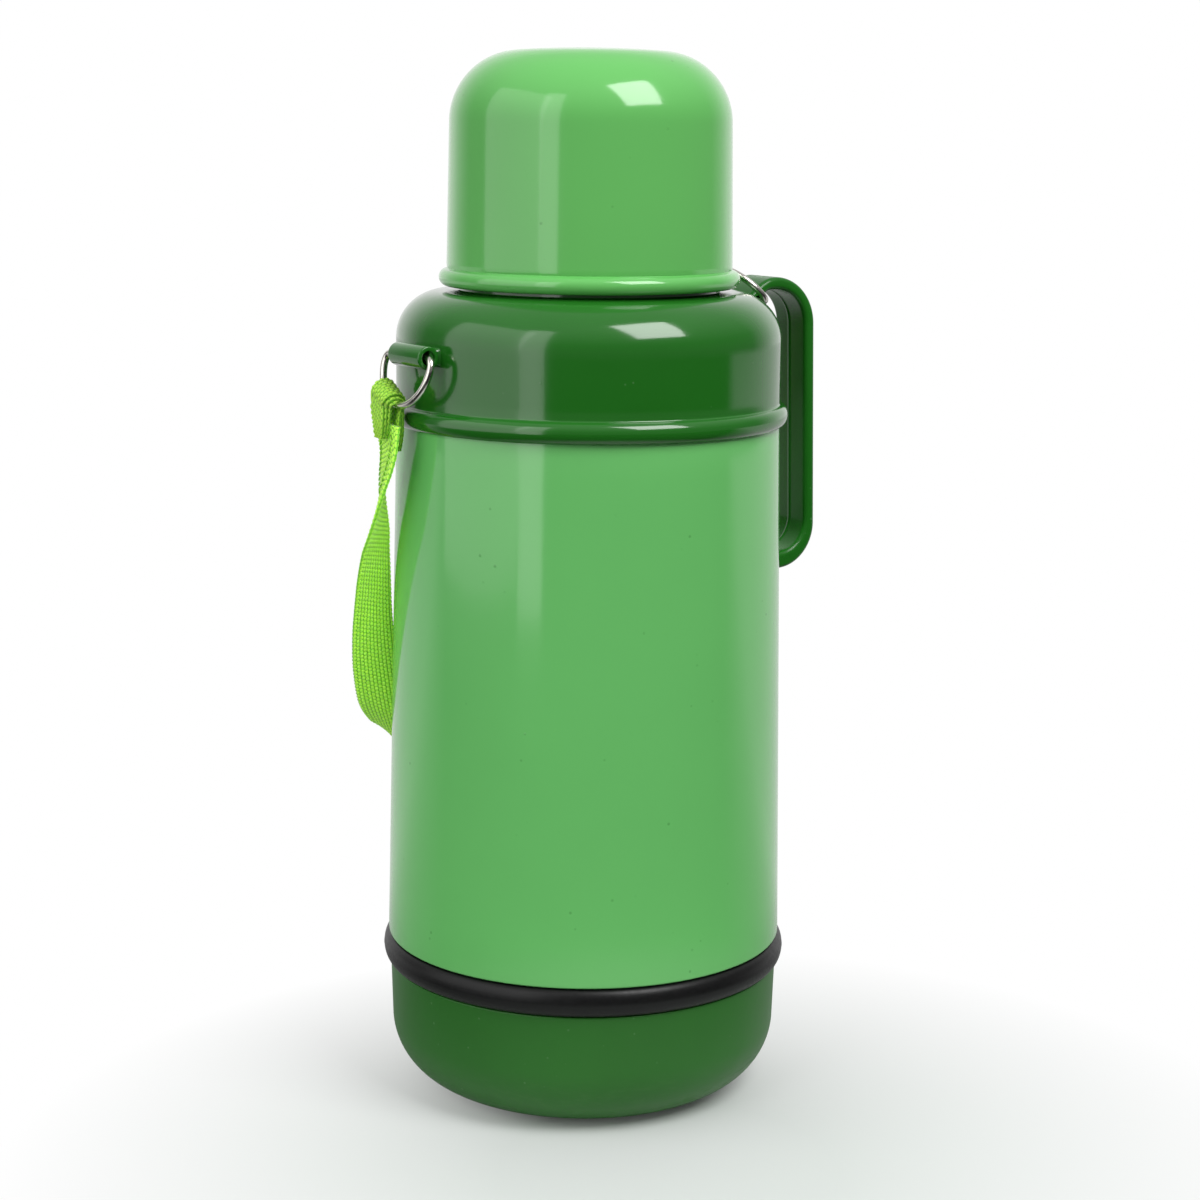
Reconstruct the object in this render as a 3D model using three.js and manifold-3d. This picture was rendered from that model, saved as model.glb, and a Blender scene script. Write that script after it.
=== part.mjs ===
// Vacuum flask with a silvered glass refill. Millimetres, +Z up.
// The origin is on the flask's axis at the face it stands on, the handle is along +X
// and the strap lug along -X.
import * as THREE from 'three';
import { mergeVertices } from 'three/addons/utils/BufferGeometryUtils.js';
import Module from 'manifold-3d';

const wasm = await Module();
wasm.setup();

// Clearances and facets
const gap = 0.3;              // between pieces that touch
const threadGap = 0.4;        // between a thread's crests and the crests it passes
const weld = 1e-4;            // points nearer than this are one point
const seg = 32;               // facets round the large pieces
const glassSeg = 24;          // facets round the glass and what fits to it
const cornerSteps = 4;        // facets in a rounded corner
const beadSteps = 2;          // facets in a small bead
const minimumCorner = 1;      // smallest radius that a hollow's corner keeps

// Shell
const shellRadius = 62.6;     // outside, at its lower edge
const shellTaper = 3.2;       // how much smaller its radius is at the top
const shellHeight = 163.2;    // from the rubber ring to the shoulder's bead
const shellWall = 2.2;
const shellTuck = 2.6;        // how far its top edge goes up inside the bead
const shellRadiusTop = shellRadius - shellTaper;
const spigotHeight = 22;      // threaded skirt that screws into the base cup
const spigotStep = 3.3;       // how far the skirt is set in from the shell
const threadDepth = 0.7;      // height of the shallow threads

// Base cup and rubber ring
const baseHeight = 39.2;
const baseInset = 0.6;        // how far its top edge is set in from the shell
const baseRadius = shellRadius - baseInset;
const baseTaper = 0.6;
const baseCorner = 21;
const baseWall = 1.9;
const baseThreadDrop = 11;    // start of its thread below its top edge
const spigotThreadRise = 3;   // start of the skirt's thread above the skirt's lower edge
const baseFloor = 2.4;
const footRecess = 0.8;       // shallow ring sunk in the foot
const footRecessInner = 14;
const footRecessOuter = 34;
const ringHeight = 8.6;
const ringBulge = 1.5;        // how far the rubber ring stands out past the shell
const ringSeatInset = 0.4;    // where its curve starts, in from the base cup's top edge

// Shoulder
const shoulderRadius = shellRadiusTop;
const shoulderHeight = 40.3;  // from the bead's lower edge to its flat top
const shoulderCorner = 14.4;
const shoulderWall = 2.4;
const beadReach = 2.5;        // how far the bead stands out past the wall
const beadRadius = shoulderRadius + beadReach;
const beadHeight = 6.3;
const beadRound = 1.3;
const beadFlat = 0.6;         // short straight at each end of its curve
const plugDepth = 12;         // skirt that fits down inside the shell
const collarHeight = 17;      // threaded collar that the cup screws on
const collarWall = 2.6;
const channelDepth = 0.6;     // drip channel's floor below the shoulder's top
const spoutHeight = 21;       // pouring neck above the shoulder's top
const spoutWall = 2.4;
const channelWidth = 5.1;     // drip channel between the collar and the pouring neck
const cupThreadRise = 6;      // start of the collar's thread above the shoulder's top
const boreThreadRise = 4;
const flangeWidth = 3.8;      // ledge inside the neck that presses the mouth seal
const flangeThickness = 2;
const skirtDepth = 8;         // neck's skirt round the refill's mouth
const lipInset = 1.2;         // refill's lip in from the neck's bore

// Cup
const cupRadius = 43.9;       // outside, just above its bead
const cupTaper = 0.8;
const cupHeight = 71.5;
const cupCorner = 21.5;
const cupCrown = 0.8;         // rise of its top
const cupCornerEnd = 84;      // degrees of the corner's curve before the crown
const cupCornerSteps = 5;
const cupMouthRise = 4;       // start of its inside thread above its rim
const cupWall = 2;
const cupBead = 2.4;          // how far the rim bead stands out
const cupBeadHeight = 5.2;
const cupLift = 1.4;          // shadow gap between the cup's rim and the shoulder

// Stopper
const knobOverhang = 4.5;     // knob's radius past the neck's bore
const knobHeight = 15.4;
const knobWall = 2.3;
const lidThickness = 3.2;
const lidRise = 1;
const lidCrownReach = 0.6;    // share of the lid's radius where its crown turns
const lidCrownRise = 0.7;     // share of its rise reached there
const knobEdge = 1;           // chamfer of the knob's edges
const plugThreadRise = 8;     // start of the plug's thread above the neck's ledge
const noseClearance = 0.5;    // stopper's nose inside the neck's ledge
const plugWall = 2.4;
const sealHeight = 1.9;
const threadPitch = 4;
const threadHalfRoot = 1.1;   // half the ridge's width where it meets the wall
const threadHalfCrest = 0.5;
const longThread = 1.25;      // turns of the threads outside, against 1 inside

// Glass refill
const glassWall = 1.5;
const vacuumGap = 3.5;
const glassClearance = 3.4;   // between the refill and the shell's top
const glassBottom = 26;       // height of the outer glass's lowest curve
const glassDome = 24;
const glassShoulder = 22;
const neckWall = 1.4;
const neckGap = 2;
const lipHeight = 1.6;
const nippleRadius = 3.4;
const nippleLength = 6.5;
const nippleTip = 1;          // height of the pinched tip
const glassShoulderDrop = 2;  // start of the refill's shoulder below the plug skirt
const padRadius = 6;
const padHeight = 110;
const padCount = 3;
const shockWidth = 7;
const mouthSealHeight = 3.4;

// Refill's support in the base
const supportThickness = 3;
const supportHole = 10;
const cradleWall = 2.4;
const cradleHeight = 8;
const cushionRadius = 33.5;
const cushionHole = 12;

// Handle
const handleWidth = 16.4;
const handleReach = 23.4;      // from the shoulder's wall to the bar's outer face
const handleThickness = 3.9;
const handleArmThickness = 5.6;
const handleFlare = 2;        // how much further out the bar's lower end stands
const handleTopRadius = 15.8;
const handleBottomRadius = 14.1;
const handleTopAbove = 2.8;   // arch's top above the shoulder's top
const handleDrop = 95;        // arch's top to the lower arm's underside
const rootInset = 4;          // root's outer face in from the shoulder's wall
const rootDrop = 4;           // root's start below the shoulder's top
const rootBulge = [5, 1.2];   // pull of the root's upper curve: outwards, below the arch's top
const rootFall = [2, 0.2];    // where that curve meets the arch: before it, below its top
const armHollow = [2.1, 4.5]; // end of the arch's underside: past the wall, below the top
const armPull = [2.6, 1];     // pull of its last curve: past the wall, below the top
const footThickness = 4.2;
const footHeight = 20;
const footEdge = 1;           // chamfers of the feet
const footStep = 2;
const footHang = 3;           // how far the lower foot reaches below the arm
const footLift = 3;           // upper foot's lower end above the bead
const cutDepth = 12;          // how far the blank runs into the body before it is cut
const screwRadius = 1.5;
const screwHeadRadius = 3;
const screwHeadHeight = 1.4;
const screwDepth = 2.6;       // thread's length inside a foot
const screwFacets = 12;

// D-rings and the lug that holds one of them
const wire = 2.2;             // diameter
const wireSides = 8;
const wireSteps = 32;
const ringHalfWidth = 13.6;
const ringDepth = 15;
const ringEndGap = 0.5;       // between the wire's two ends, inside the lug
const ringEndRadius = 3;
const ringBendSteps = 12;
const lugRadius = 3.5;
const lugBore = 4.2;
const lugHalfLength = 10;
const lugBelowTop = 17.4;
const lugWeb = 3;             // half height of the web between the lug and the wall
const lugSink = 0.1;          // how deep the tube sinks into the wall
const leftRingTilt = 14;      // degrees out from straight down
const leftRingShift = 1.4;    // towards +Y
const rootHoleBelowTop = 4.5;
const rootHoleInset = 0.4;    // hole's centre in from the shoulder's wall
const rootHoleRadius = 1.7;
const rightRingLean = 135;    // degrees up from +X, towards the cup
const holeFacets = 12;

// Strap
const strapWidth = 15;
const strapThickness = 1.5;
const strapSteps = 34;

// Colours
const lightGreen = 0x62b35f;
const darkGreen = 0x206c1c;
const limeGreen = 0x7dd22d;
const rubberBlack = 0x1a1a1b;
const nickel = 0xb9b4ac;
const silvered = 0xd8dadc;
const cream = 0xe8e4d6;
const foamWhite = 0xf0efe9;
const feltGrey = 0x8a8a86;
const steel = 0xb4b6b9;

// Heights and radii that follow from the driving sizes
const ringZ = baseHeight + gap;
const shellZ = ringZ + ringHeight + gap;
const beadZ = shellZ + shellHeight;
const shellTopZ = beadZ + shellTuck;
const shoulderTopZ = beadZ + shoulderHeight;
const cupZ = shoulderTopZ + cupLift;
const cupTopZ = cupZ + cupHeight;
const collarRadius = cupRadius - cupWall - threadGap - 2 * threadDepth;
const spoutRadius = collarRadius - collarWall - channelWidth - spoutWall;  // neck's bore
const spigotRadius = shellRadius - spigotStep;
const spigotThreadRadius = spigotRadius - threadDepth;
const baseInner = spigotRadius + threadGap + threadDepth;
const innerCorner = baseCorner - baseWall;
const baseInnerFoot = baseInner - baseTaper - innerCorner;
const flangeZ = shoulderTopZ - channelDepth - skirtDepth;
const flangeRadius = spoutRadius - flangeWidth;
const skirtZ = flangeZ - skirtDepth;
const lipRadius = spoutRadius - lipInset;
const lipZ = flangeZ - mouthSealHeight - 2 * gap;
const cornerRadius = Math.min(shoulderCorner, shoulderRadius - collarRadius - minimumCorner);
const cornerZ = shoulderTopZ - cornerRadius;

const shellSlope = shellTaper / (shellTopZ - shellZ);
const shellRadiusAt = (z) => shellRadius - shellSlope * (z - shellZ);

// An arc of a profile: points [radius, height] round a centre, angles in degrees
function arc(r, z, radiusR, radiusZ, from, to, steps = cornerSteps) {
  const points = [];
  for (let i = 0; i <= steps; i += 1) {
    const angle = THREE.MathUtils.degToRad(from + ((to - from) * i) / steps);
    points.push([r + radiusR * Math.cos(angle), z + radiusZ * Math.sin(angle)]);
  }
  return points;
}

// A solid of revolution about Z; the profile runs up its outside and down its inside
function lathe(points, facets = seg) {
  const profile = points.map(([r, z]) => new THREE.Vector2(Math.max(r, 0), z));
  return new THREE.LatheGeometry(profile, facets).rotateX(Math.PI / 2);
}

// A closed ring's profile ends where it starts
function latheRing(points, facets = seg) {
  return lathe([...points, points[0]], facets);
}

// A round bar from one point to another
function bar(from, to, radius, facets) {
  const along = new THREE.Vector3().subVectors(to, from);
  const turn = new THREE.Quaternion();
  turn.setFromUnitVectors(new THREE.Vector3(0, 1, 0), along.clone().normalize());
  const middle = new THREE.Vector3().addVectors(from, to).multiplyScalar(0.5);
  const geometry = new THREE.CylinderGeometry(radius, radius, along.length(), facets);
  return geometry.applyQuaternion(turn).translate(middle.x, middle.y, middle.z);
}

function solidOf(geometry) {
  const bare = geometry.clone();
  bare.deleteAttribute('normal');
  bare.deleteAttribute('uv');
  const merged = mergeVertices(bare, weld);
  const corners = [];
  for (let i = 0; i < merged.index.count; i += 3) {
    const [a, b, c] = [0, 1, 2].map((k) => merged.index.getX(i + k));
    if (a !== b && b !== c && c !== a) {
      corners.push(a, b, c);
    }
  }
  const vertProperties = new Float32Array(merged.attributes.position.array);
  const triVerts = new Uint32Array(corners);
  return new wasm.Manifold(new wasm.Mesh({ numProp: 3, vertProperties, triVerts }));
}

function geometryOf(solid) {
  const mesh = solid.getMesh();
  const geometry = new THREE.BufferGeometry();
  geometry.setAttribute('position', new THREE.BufferAttribute(mesh.vertProperties, 3));
  geometry.setIndex(new THREE.BufferAttribute(mesh.triVerts, 1));
  geometry.computeVertexNormals();
  return geometry;
}

function combine(base, joins, cuts) {
  let solid = solidOf(base);
  joins.forEach((piece) => {
    solid = solid.add(solidOf(piece));
  });
  cuts.forEach((piece) => {
    solid = solid.subtract(solidOf(piece));
  });
  return geometryOf(solid);
}

// A smooth path whose section is turned by a rule of its own
class TurnedPath extends THREE.CatmullRomCurve3 {
  constructor(points, sideAt) {
    super(points, false, 'centripetal');
    this.sideAt = sideAt;
  }

  computeFrenetFrames(steps) {
    const frames = { tangents: [], normals: [], binormals: [] };
    for (let i = 0; i <= steps; i += 1) {
      const tangent = this.getTangentAt(i / steps).normalize();
      const side = this.sideAt(i / steps, this.getPointAt(i / steps));
      const binormal = new THREE.Vector3().crossVectors(tangent, side).normalize();
      frames.tangents.push(tangent);
      frames.binormals.push(binormal);
      frames.normals.push(new THREE.Vector3().crossVectors(binormal, tangent));
    }
    return frames;
  }
}

// A thread's ridge: one and a bit turns of a flat-topped section
function threadRidge(rootRadius, crestRadius, z, turns, facets = seg) {
  const overlap = gap * Math.sign(rootRadius - crestRadius);
  const points = [];
  for (let i = 0; i <= turns * facets; i += 1) {
    const angle = (i / facets) * 2 * Math.PI;
    const height = z + (threadPitch * i) / facets;
    const [x, y] = [rootRadius * Math.cos(angle), rootRadius * Math.sin(angle)];
    points.push(new THREE.Vector3(x, y, height));
  }
  const path = new TurnedPath(points, (t, at) => new THREE.Vector3(at.x, at.y, 0).normalize());
  const section = new THREE.Shape();
  section.moveTo(overlap, -threadHalfRoot);
  section.lineTo(crestRadius - rootRadius, -threadHalfCrest);
  section.lineTo(crestRadius - rootRadius, threadHalfCrest);
  section.lineTo(overlap, threadHalfRoot);
  section.closePath();
  const steps = Math.round(turns * facets);
  return new THREE.ExtrudeGeometry(section, { steps, extrudePath: path });
}

// Base cup: rounded foot, tapered wall and the thread that the shell screws into
function baseCup() {
  const wallZ = baseCorner;
  const footRadius = baseRadius - baseTaper - baseCorner;
  const profile = [
    [0, 0],
    [footRecessInner, 0],
    [footRecessInner, footRecess],
    [footRecessOuter, footRecess],
    [footRecessOuter, 0],
    ...arc(footRadius, wallZ, baseCorner, baseCorner, -90, 0, cornerSteps + 1),
    [baseRadius, baseHeight],
    [baseInner, baseHeight],
    ...arc(baseInnerFoot, baseFloor + innerCorner, innerCorner, innerCorner, 0, -90),
    [0, baseFloor],
  ];
  const crest = baseInner - threadDepth;
  const thread = threadRidge(baseInner, crest, baseHeight - baseThreadDrop, 1);
  return combine(lathe(profile), [thread], []);
}

// Rubber ring between the base cup and the shell
function baseRing() {
  const inner = spigotRadius + threadGap;
  const seat = baseRadius - ringSeatInset;
  const middle = ringZ + ringHeight / 2;
  const bulge = shellRadius + ringBulge - seat;
  const profile = [[inner, ringZ], ...arc(seat, middle, bulge, ringHeight / 2, -90, 90)];
  profile.push([inner, ringZ + ringHeight]);
  return latheRing(profile);
}

// Plate that stands in the base cup and carries the rubber cushion
function refillSupport() {
  const z = baseFloor + gap;
  const cradleInner = cushionRadius + gap;
  const cradleOuter = cradleInner + cradleWall;
  return latheRing([
    [supportHole, z],
    [baseInnerFoot, z],
    [baseInnerFoot, z + supportThickness],
    [cradleOuter, z + supportThickness],
    [cradleOuter, z + supportThickness + cradleHeight],
    [cradleInner, z + supportThickness + cradleHeight],
    [cradleInner, z + supportThickness],
    [supportHole, z + supportThickness],
  ], glassSeg);
}

const glassRadius = shellRadiusTop - shellWall - glassClearance;
const glassLowZ = glassBottom + glassDome;
const glassHighZ = beadZ - plugDepth - glassShoulderDrop;
const glassDomeAt = (r) => glassLowZ - glassDome * Math.sqrt(1 - (r / glassRadius) ** 2);

function refillCushion() {
  const z = baseFloor + supportThickness + 2 * gap;
  const profile = [[cushionHole, z], [cushionRadius, z]];
  for (let i = cornerSteps; i >= 0; i -= 1) {
    const r = THREE.MathUtils.lerp(cushionHole, cushionRadius, i / cornerSteps);
    profile.push([r, glassDomeAt(r) - 2 * gap]);
  }
  return latheRing(profile, glassSeg);
}

// Outer glass, with the sealed tip below and the neck above
function glassOuter() {
  const outerNeck = lipRadius;
  const innerNeck = outerNeck - neckWall;
  const inner = glassRadius - glassWall;
  const innerDome = glassDome - glassWall;
  const tipAngle = -(Math.acos(nippleRadius / glassRadius) * 180) / Math.PI;
  const top = lipZ - lipHeight - gap;
  return lathe([
    [0, glassBottom - nippleLength],
    [nippleRadius / 2, glassBottom - nippleLength + nippleTip],
    ...arc(0, glassLowZ, glassRadius, glassDome, tipAngle, 0),
    ...arc(outerNeck, glassHighZ, glassRadius - outerNeck, glassShoulder, 0, 90),
    [outerNeck, top],
    [innerNeck, top],
    ...arc(innerNeck, glassHighZ, inner - innerNeck, glassShoulder - glassWall, 90, 0),
    ...arc(0, glassLowZ, inner, innerDome, 0, -90),
  ], glassSeg);
}

// Inner glass, whose lip closes the space between the two walls
function glassInner() {
  const outer = glassRadius - glassWall - vacuumGap;
  const inner = outer - glassWall;
  const outerNeck = lipRadius - neckWall - neckGap;
  const innerNeck = outerNeck - neckWall;
  const dome = glassDome - glassWall - vacuumGap;
  const shoulder = glassShoulder - glassWall - vacuumGap;
  return lathe([
    ...arc(0, glassLowZ, outer, dome, -90, 0),
    ...arc(outerNeck, glassHighZ, outer - outerNeck, shoulder, 0, 90),
    [outerNeck, lipZ - lipHeight],
    [lipRadius, lipZ - lipHeight],
    [lipRadius, lipZ],
    [innerNeck, lipZ],
    ...arc(innerNeck, glassHighZ, inner - innerNeck, shoulder - glassWall, 90, 0),
    ...arc(0, glassLowZ, inner, dome - glassWall, 0, -90),
  ], glassSeg);
}

// One of the pads that keep the two glass walls apart
function spacerPad(index) {
  const facetLoss = glassRadius * (1 - Math.cos(Math.PI / glassSeg));
  const outerWall = glassRadius - glassWall - facetLoss - gap;
  const outer = Math.sqrt(outerWall ** 2 - padRadius ** 2);
  const inner = glassRadius - glassWall - vacuumGap + gap;
  const from = new THREE.Vector3(inner, 0, padHeight);
  const to = new THREE.Vector3(outer, 0, padHeight);
  return bar(from, to, padRadius, holeFacets).rotateZ((index * 2 * Math.PI) / padCount);
}

function shockRing() {
  const inner = lipRadius + 2 * gap;
  const outer = inner + shockWidth;
  const reach = glassRadius - lipRadius;
  const fallAt = (r) => Math.sqrt(1 - ((r - lipRadius) / reach) ** 2);
  const domeAt = (r) => glassHighZ + glassShoulder * fallAt(r);
  return latheRing([
    [inner, domeAt(inner) + 2 * gap],
    [outer, domeAt(outer) + 2 * gap],
    [outer, skirtZ - gap],
    [inner, skirtZ - gap],
  ], glassSeg);
}

function mouthSeal() {
  const z = lipZ + gap;
  return latheRing([
    [flangeRadius, z],
    [lipRadius, z],
    [lipRadius, z + mouthSealHeight],
    [flangeRadius, z + mouthSealHeight],
  ], glassSeg);
}

// Where the two handle screws go through the wall
const upperScrewZ = beadZ + beadHeight + footHeight / 2;
const handleTopZ = shoulderTopZ + handleTopAbove;
const handleLowZ = handleTopZ - handleDrop;
const lowerScrewZ = handleLowZ + footHeight / 2;
const footFace = (wallRadius) => wallRadius + gap + footThickness;

function screwHole(z, wallRadius) {
  const from = new THREE.Vector3(wallRadius - cutDepth, 0, z);
  const to = new THREE.Vector3(wallRadius + gap + screwDepth + gap, 0, z);
  return bar(from, to, screwRadius + gap, screwFacets);
}

function bodyShell() {
  const spigotZ = shellZ - spigotHeight;
  const inner = spigotThreadRadius - shellWall + threadDepth;
  const profile = [
    [inner, spigotZ],
    [spigotThreadRadius, spigotZ],
    [spigotThreadRadius, ringZ - gap],
    [spigotRadius, ringZ - gap],
    [spigotRadius, shellZ],
    [shellRadius, shellZ],
    [shellRadiusTop, shellTopZ],
    [shellRadiusTop - shellWall, shellTopZ],
    [shellRadius - shellWall, shellZ + spigotStep],
    [inner, shellZ],
  ];
  const thread = threadRidge(spigotThreadRadius, spigotRadius, spigotZ + spigotThreadRise, 1);
  const screw = screwHole(lowerScrewZ, shellRadiusAt(lowerScrewZ));
  return combine(latheRing(profile), [thread], [screw]);
}

// Lug: a short tube across -X, on a web moulded to the shoulder's wall
const lugX = -(shoulderRadius + lugRadius - lugSink);
const lugZ = shoulderTopZ - lugBelowTop;

function lugSolids() {
  const from = new THREE.Vector3(lugX, -lugHalfLength, lugZ);
  const to = new THREE.Vector3(lugX, lugHalfLength, lugZ);
  const tube = bar(from, to, lugRadius, holeFacets);
  const webDepth = shoulderRadius - shoulderWall / 2 + lugX;
  const web = new THREE.BoxGeometry(Math.abs(webDepth), 2 * lugHalfLength, 2 * lugWeb);
  web.translate(lugX - webDepth / 2, 0, lugZ);
  const boreFrom = from.clone().setY(-lugHalfLength - 1);
  const boreTo = to.clone().setY(lugHalfLength + 1);
  const bore = bar(boreFrom, boreTo, lugBore / 2, holeFacets);
  return { tube, web, bore };
}

function shoulderOutside() {
  const beadMiddle = beadZ + beadHeight / 2;
  const roundHeight = beadHeight / 2 - beadFlat;
  return [
    [beadRadius - beadRound + beadFlat / 2, beadZ],
    ...arc(beadRadius - beadRound, beadMiddle, beadRound, roundHeight, -60, 60, beadSteps),
    [shoulderRadius, beadZ + beadHeight],
    ...arc(shoulderRadius - cornerRadius, cornerZ, cornerRadius, cornerRadius, 0, 90),
    [collarRadius, shoulderTopZ],
  ];
}

function shoulder() {
  const grooveInner = shellRadiusTop + gap;
  const skirtRadius = shellRadiusTop - shellWall - gap;
  const channelZ = shoulderTopZ - channelDepth;
  const ceilingZ = shoulderTopZ - shoulderWall - channelDepth;
  const wallInner = shoulderRadius - shoulderWall;
  const insideCorner = Math.max(cornerRadius - shoulderWall, minimumCorner);
  const cornerIn = wallInner - insideCorner;
  const cornerLow = ceilingZ - insideCorner;
  const spoutOuter = spoutRadius + spoutWall;
  const skirtInner = skirtRadius - shoulderWall;
  const profile = [
    [skirtInner, beadZ - plugDepth],
    [skirtRadius, beadZ - plugDepth],
    [skirtRadius, shellTopZ + gap],
    [grooveInner, shellTopZ + gap],
    [grooveInner, beadZ],
    ...shoulderOutside(),
    [collarRadius, shoulderTopZ + collarHeight],
    [collarRadius - collarWall, shoulderTopZ + collarHeight],
    [collarRadius - collarWall, channelZ],
    [spoutOuter, channelZ],
    [spoutOuter, shoulderTopZ + spoutHeight],
    [spoutRadius, shoulderTopZ + spoutHeight],
    [spoutRadius, flangeZ + flangeThickness],
    [flangeRadius, flangeZ + flangeThickness],
    [flangeRadius, flangeZ],
    [lipRadius + gap, flangeZ],
    [lipRadius + gap, skirtZ],
    [spoutOuter, skirtZ],
    [spoutOuter, ceilingZ],
    ...arc(cornerIn, cornerLow, insideCorner, insideCorner, 90, 0, beadSteps),
    [wallInner, beadZ + beadHeight],
    [skirtInner, shellTopZ],
  ];
  const collarCrest = collarRadius + threadDepth;
  const boreCrest = spoutRadius - threadDepth;
  const cupThread = threadRidge(collarRadius, collarCrest, shoulderTopZ + cupThreadRise, longThread);
  const boreThread = threadRidge(spoutRadius, boreCrest, shoulderTopZ + boreThreadRise, 1);
  const { tube, web, bore } = lugSolids();
  const screw = screwHole(upperScrewZ, shoulderRadius);
  return combine(latheRing(profile), [cupThread, boreThread, tube, web], [bore, screw]);
}

function cup() {
  const beadMiddle = cupZ + cupBeadHeight / 2;
  const topRadius = cupRadius - cupTaper;
  const cornerCentreZ = cupTopZ - cupCrown - cupCorner;
  const inner = cupRadius - cupWall;
  const innerTop = topRadius - cupWall;
  const insideRound = cupCorner - cupWall;
  const cornerR = topRadius - cupCorner;
  const insideR = innerTop - insideRound;
  const profile = [
    [inner, cupZ],
    ...arc(cupRadius, beadMiddle, cupBead, cupBeadHeight / 2, -90, 90),
    ...arc(cornerR, cornerCentreZ, cupCorner, cupCorner, 0, cupCornerEnd, cupCornerSteps),
    [0, cupTopZ],
    [0, cupTopZ - cupWall],
    ...arc(insideR, cornerCentreZ, insideRound, insideRound, cupCornerEnd, 0),
    [inner, cupZ + cupBeadHeight],
  ];
  profile.push([inner, cupZ]);
  const thread = threadRidge(inner, inner - threadDepth, cupZ + cupMouthRise, 1);
  return combine(lathe(profile), [thread], []);
}

// Stopper: threaded plug and knob in one moulding, open at the top for its foam
const plugRadius = spoutRadius - threadGap - 2 * threadDepth;
const noseRadius = flangeRadius - noseClearance;
const noseZ = flangeZ - mouthSealHeight;
const sealZ = flangeZ + flangeThickness + gap;
const knobZ = shoulderTopZ + spoutHeight + 2 * gap;
const knobRadius = spoutRadius + knobOverhang;
const foamRadius = noseRadius - plugWall;

function stopperBody() {
  const threadZ = flangeZ + plugThreadRise;
  const crest = plugRadius + threadDepth;
  const thread = threadRidge(plugRadius, crest, threadZ, longThread, glassSeg);
  const rim = knobRadius - knobWall;
  const floorZ = knobZ + knobWall;
  const top = knobZ + knobHeight;
  return combine(lathe([
    [0, noseZ],
    [noseRadius, noseZ],
    [noseRadius, sealZ + sealHeight + gap],
    [plugRadius, sealZ + sealHeight + gap],
    [plugRadius, knobZ],
    [knobRadius - knobEdge, knobZ],
    [knobRadius, knobZ + knobEdge],
    [knobRadius, top - knobEdge],
    [knobRadius - knobEdge, top],
    [rim, top],
    [rim, floorZ],
    [foamRadius, floorZ],
    [foamRadius, noseZ + plugWall],
    [0, noseZ + plugWall],
  ], glassSeg), [thread], []);
}

function stopperSeal() {
  return latheRing([
    [noseRadius + gap, sealZ],
    [plugRadius, sealZ],
    [plugRadius, sealZ + sealHeight],
    [noseRadius + gap, sealZ + sealHeight],
  ], glassSeg);
}

function stopperLid() {
  const top = knobZ + knobHeight;
  const radius = knobRadius - knobWall - gap;
  return lathe([
    [0, top - lidThickness],
    [radius, top - lidThickness],
    [radius, top],
    [radius * lidCrownReach, top + lidRise * lidCrownRise],
    [0, top + lidRise],
  ], glassSeg);
}

function stopperFoam() {
  const bottom = noseZ + plugWall + gap;
  const top = knobZ + knobHeight - lidThickness - gap;
  const radius = foamRadius - gap;
  return lathe([[0, bottom], [radius, bottom], [radius, top], [0, top]], glassSeg);
}

// Handle: a bent band with a foot at each end, cut to the wall that it stands on
const rootHoleX = shoulderRadius - rootHoleInset;
const rootHoleZ = shoulderTopZ - rootHoleBelowTop;

function handleOutline() {
  const barX = shoulderRadius + handleReach;
  const top = handleTopZ;
  const thick = handleThickness;
  const archX = barX - handleTopRadius;
  const archZ = top - handleTopRadius;
  const innerArch = handleTopRadius - thick;
  const lowX = barX + handleFlare - handleBottomRadius;
  const lowZ = handleLowZ + handleBottomRadius;
  const innerLow = handleBottomRadius - thick;
  const armTop = handleLowZ + handleArmThickness;
  const deepX = shoulderRadius - cutDepth;
  const upperFoot = footFace(shoulderRadius);
  const lowerFoot = footFace(shellRadiusAt(handleLowZ));
  const rootX = shoulderRadius - rootInset;
  const footEnd = upperScrewZ - footHeight / 2 + footLift;
  const hollowZ = shoulderTopZ - armHollow[1];
  const shape = new THREE.Shape();
  shape.moveTo(deepX, shoulderTopZ - 2 * rootDrop);
  shape.lineTo(rootX, shoulderTopZ - rootDrop);
  shape.quadraticCurveTo(
    rootX + rootBulge[0],
    top - rootBulge[1],
    archX - rootFall[0],
    top - rootFall[1],
  );
  shape.lineTo(archX, top);
  shape.absarc(archX, archZ, handleTopRadius, Math.PI / 2, 0, true);
  shape.lineTo(barX + handleFlare, lowZ);
  shape.absarc(lowX, lowZ, handleBottomRadius, 0, -Math.PI / 2, true);
  shape.lineTo(lowerFoot, handleLowZ - gap);
  shape.lineTo(lowerFoot - footEdge, handleLowZ - footHang);
  shape.lineTo(deepX, handleLowZ - footHang);
  shape.lineTo(deepX, handleLowZ + footHeight);
  shape.lineTo(lowerFoot - footEdge, handleLowZ + footHeight);
  shape.lineTo(lowerFoot, handleLowZ + footHeight - footStep);
  shape.lineTo(lowerFoot, armTop + footStep);
  shape.lineTo(lowerFoot + footStep, armTop);
  shape.lineTo(lowX, armTop);
  shape.absarc(lowX, armTop + innerLow, innerLow, -Math.PI / 2, 0, false);
  shape.lineTo(barX - thick, archZ);
  shape.absarc(archX, archZ, innerArch, 0, Math.PI / 2, false);
  shape.quadraticCurveTo(
    shoulderRadius + armPull[0],
    shoulderTopZ - armPull[1],
    shoulderRadius + armHollow[0],
    hollowZ,
  );
  shape.lineTo(upperFoot, hollowZ - armHollow[1]);
  shape.lineTo(upperFoot, footEnd);
  shape.lineTo(upperFoot - footEdge, footEnd - footStep);
  shape.lineTo(deepX, footEnd - footStep);
  shape.closePath();
  return shape;
}

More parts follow.
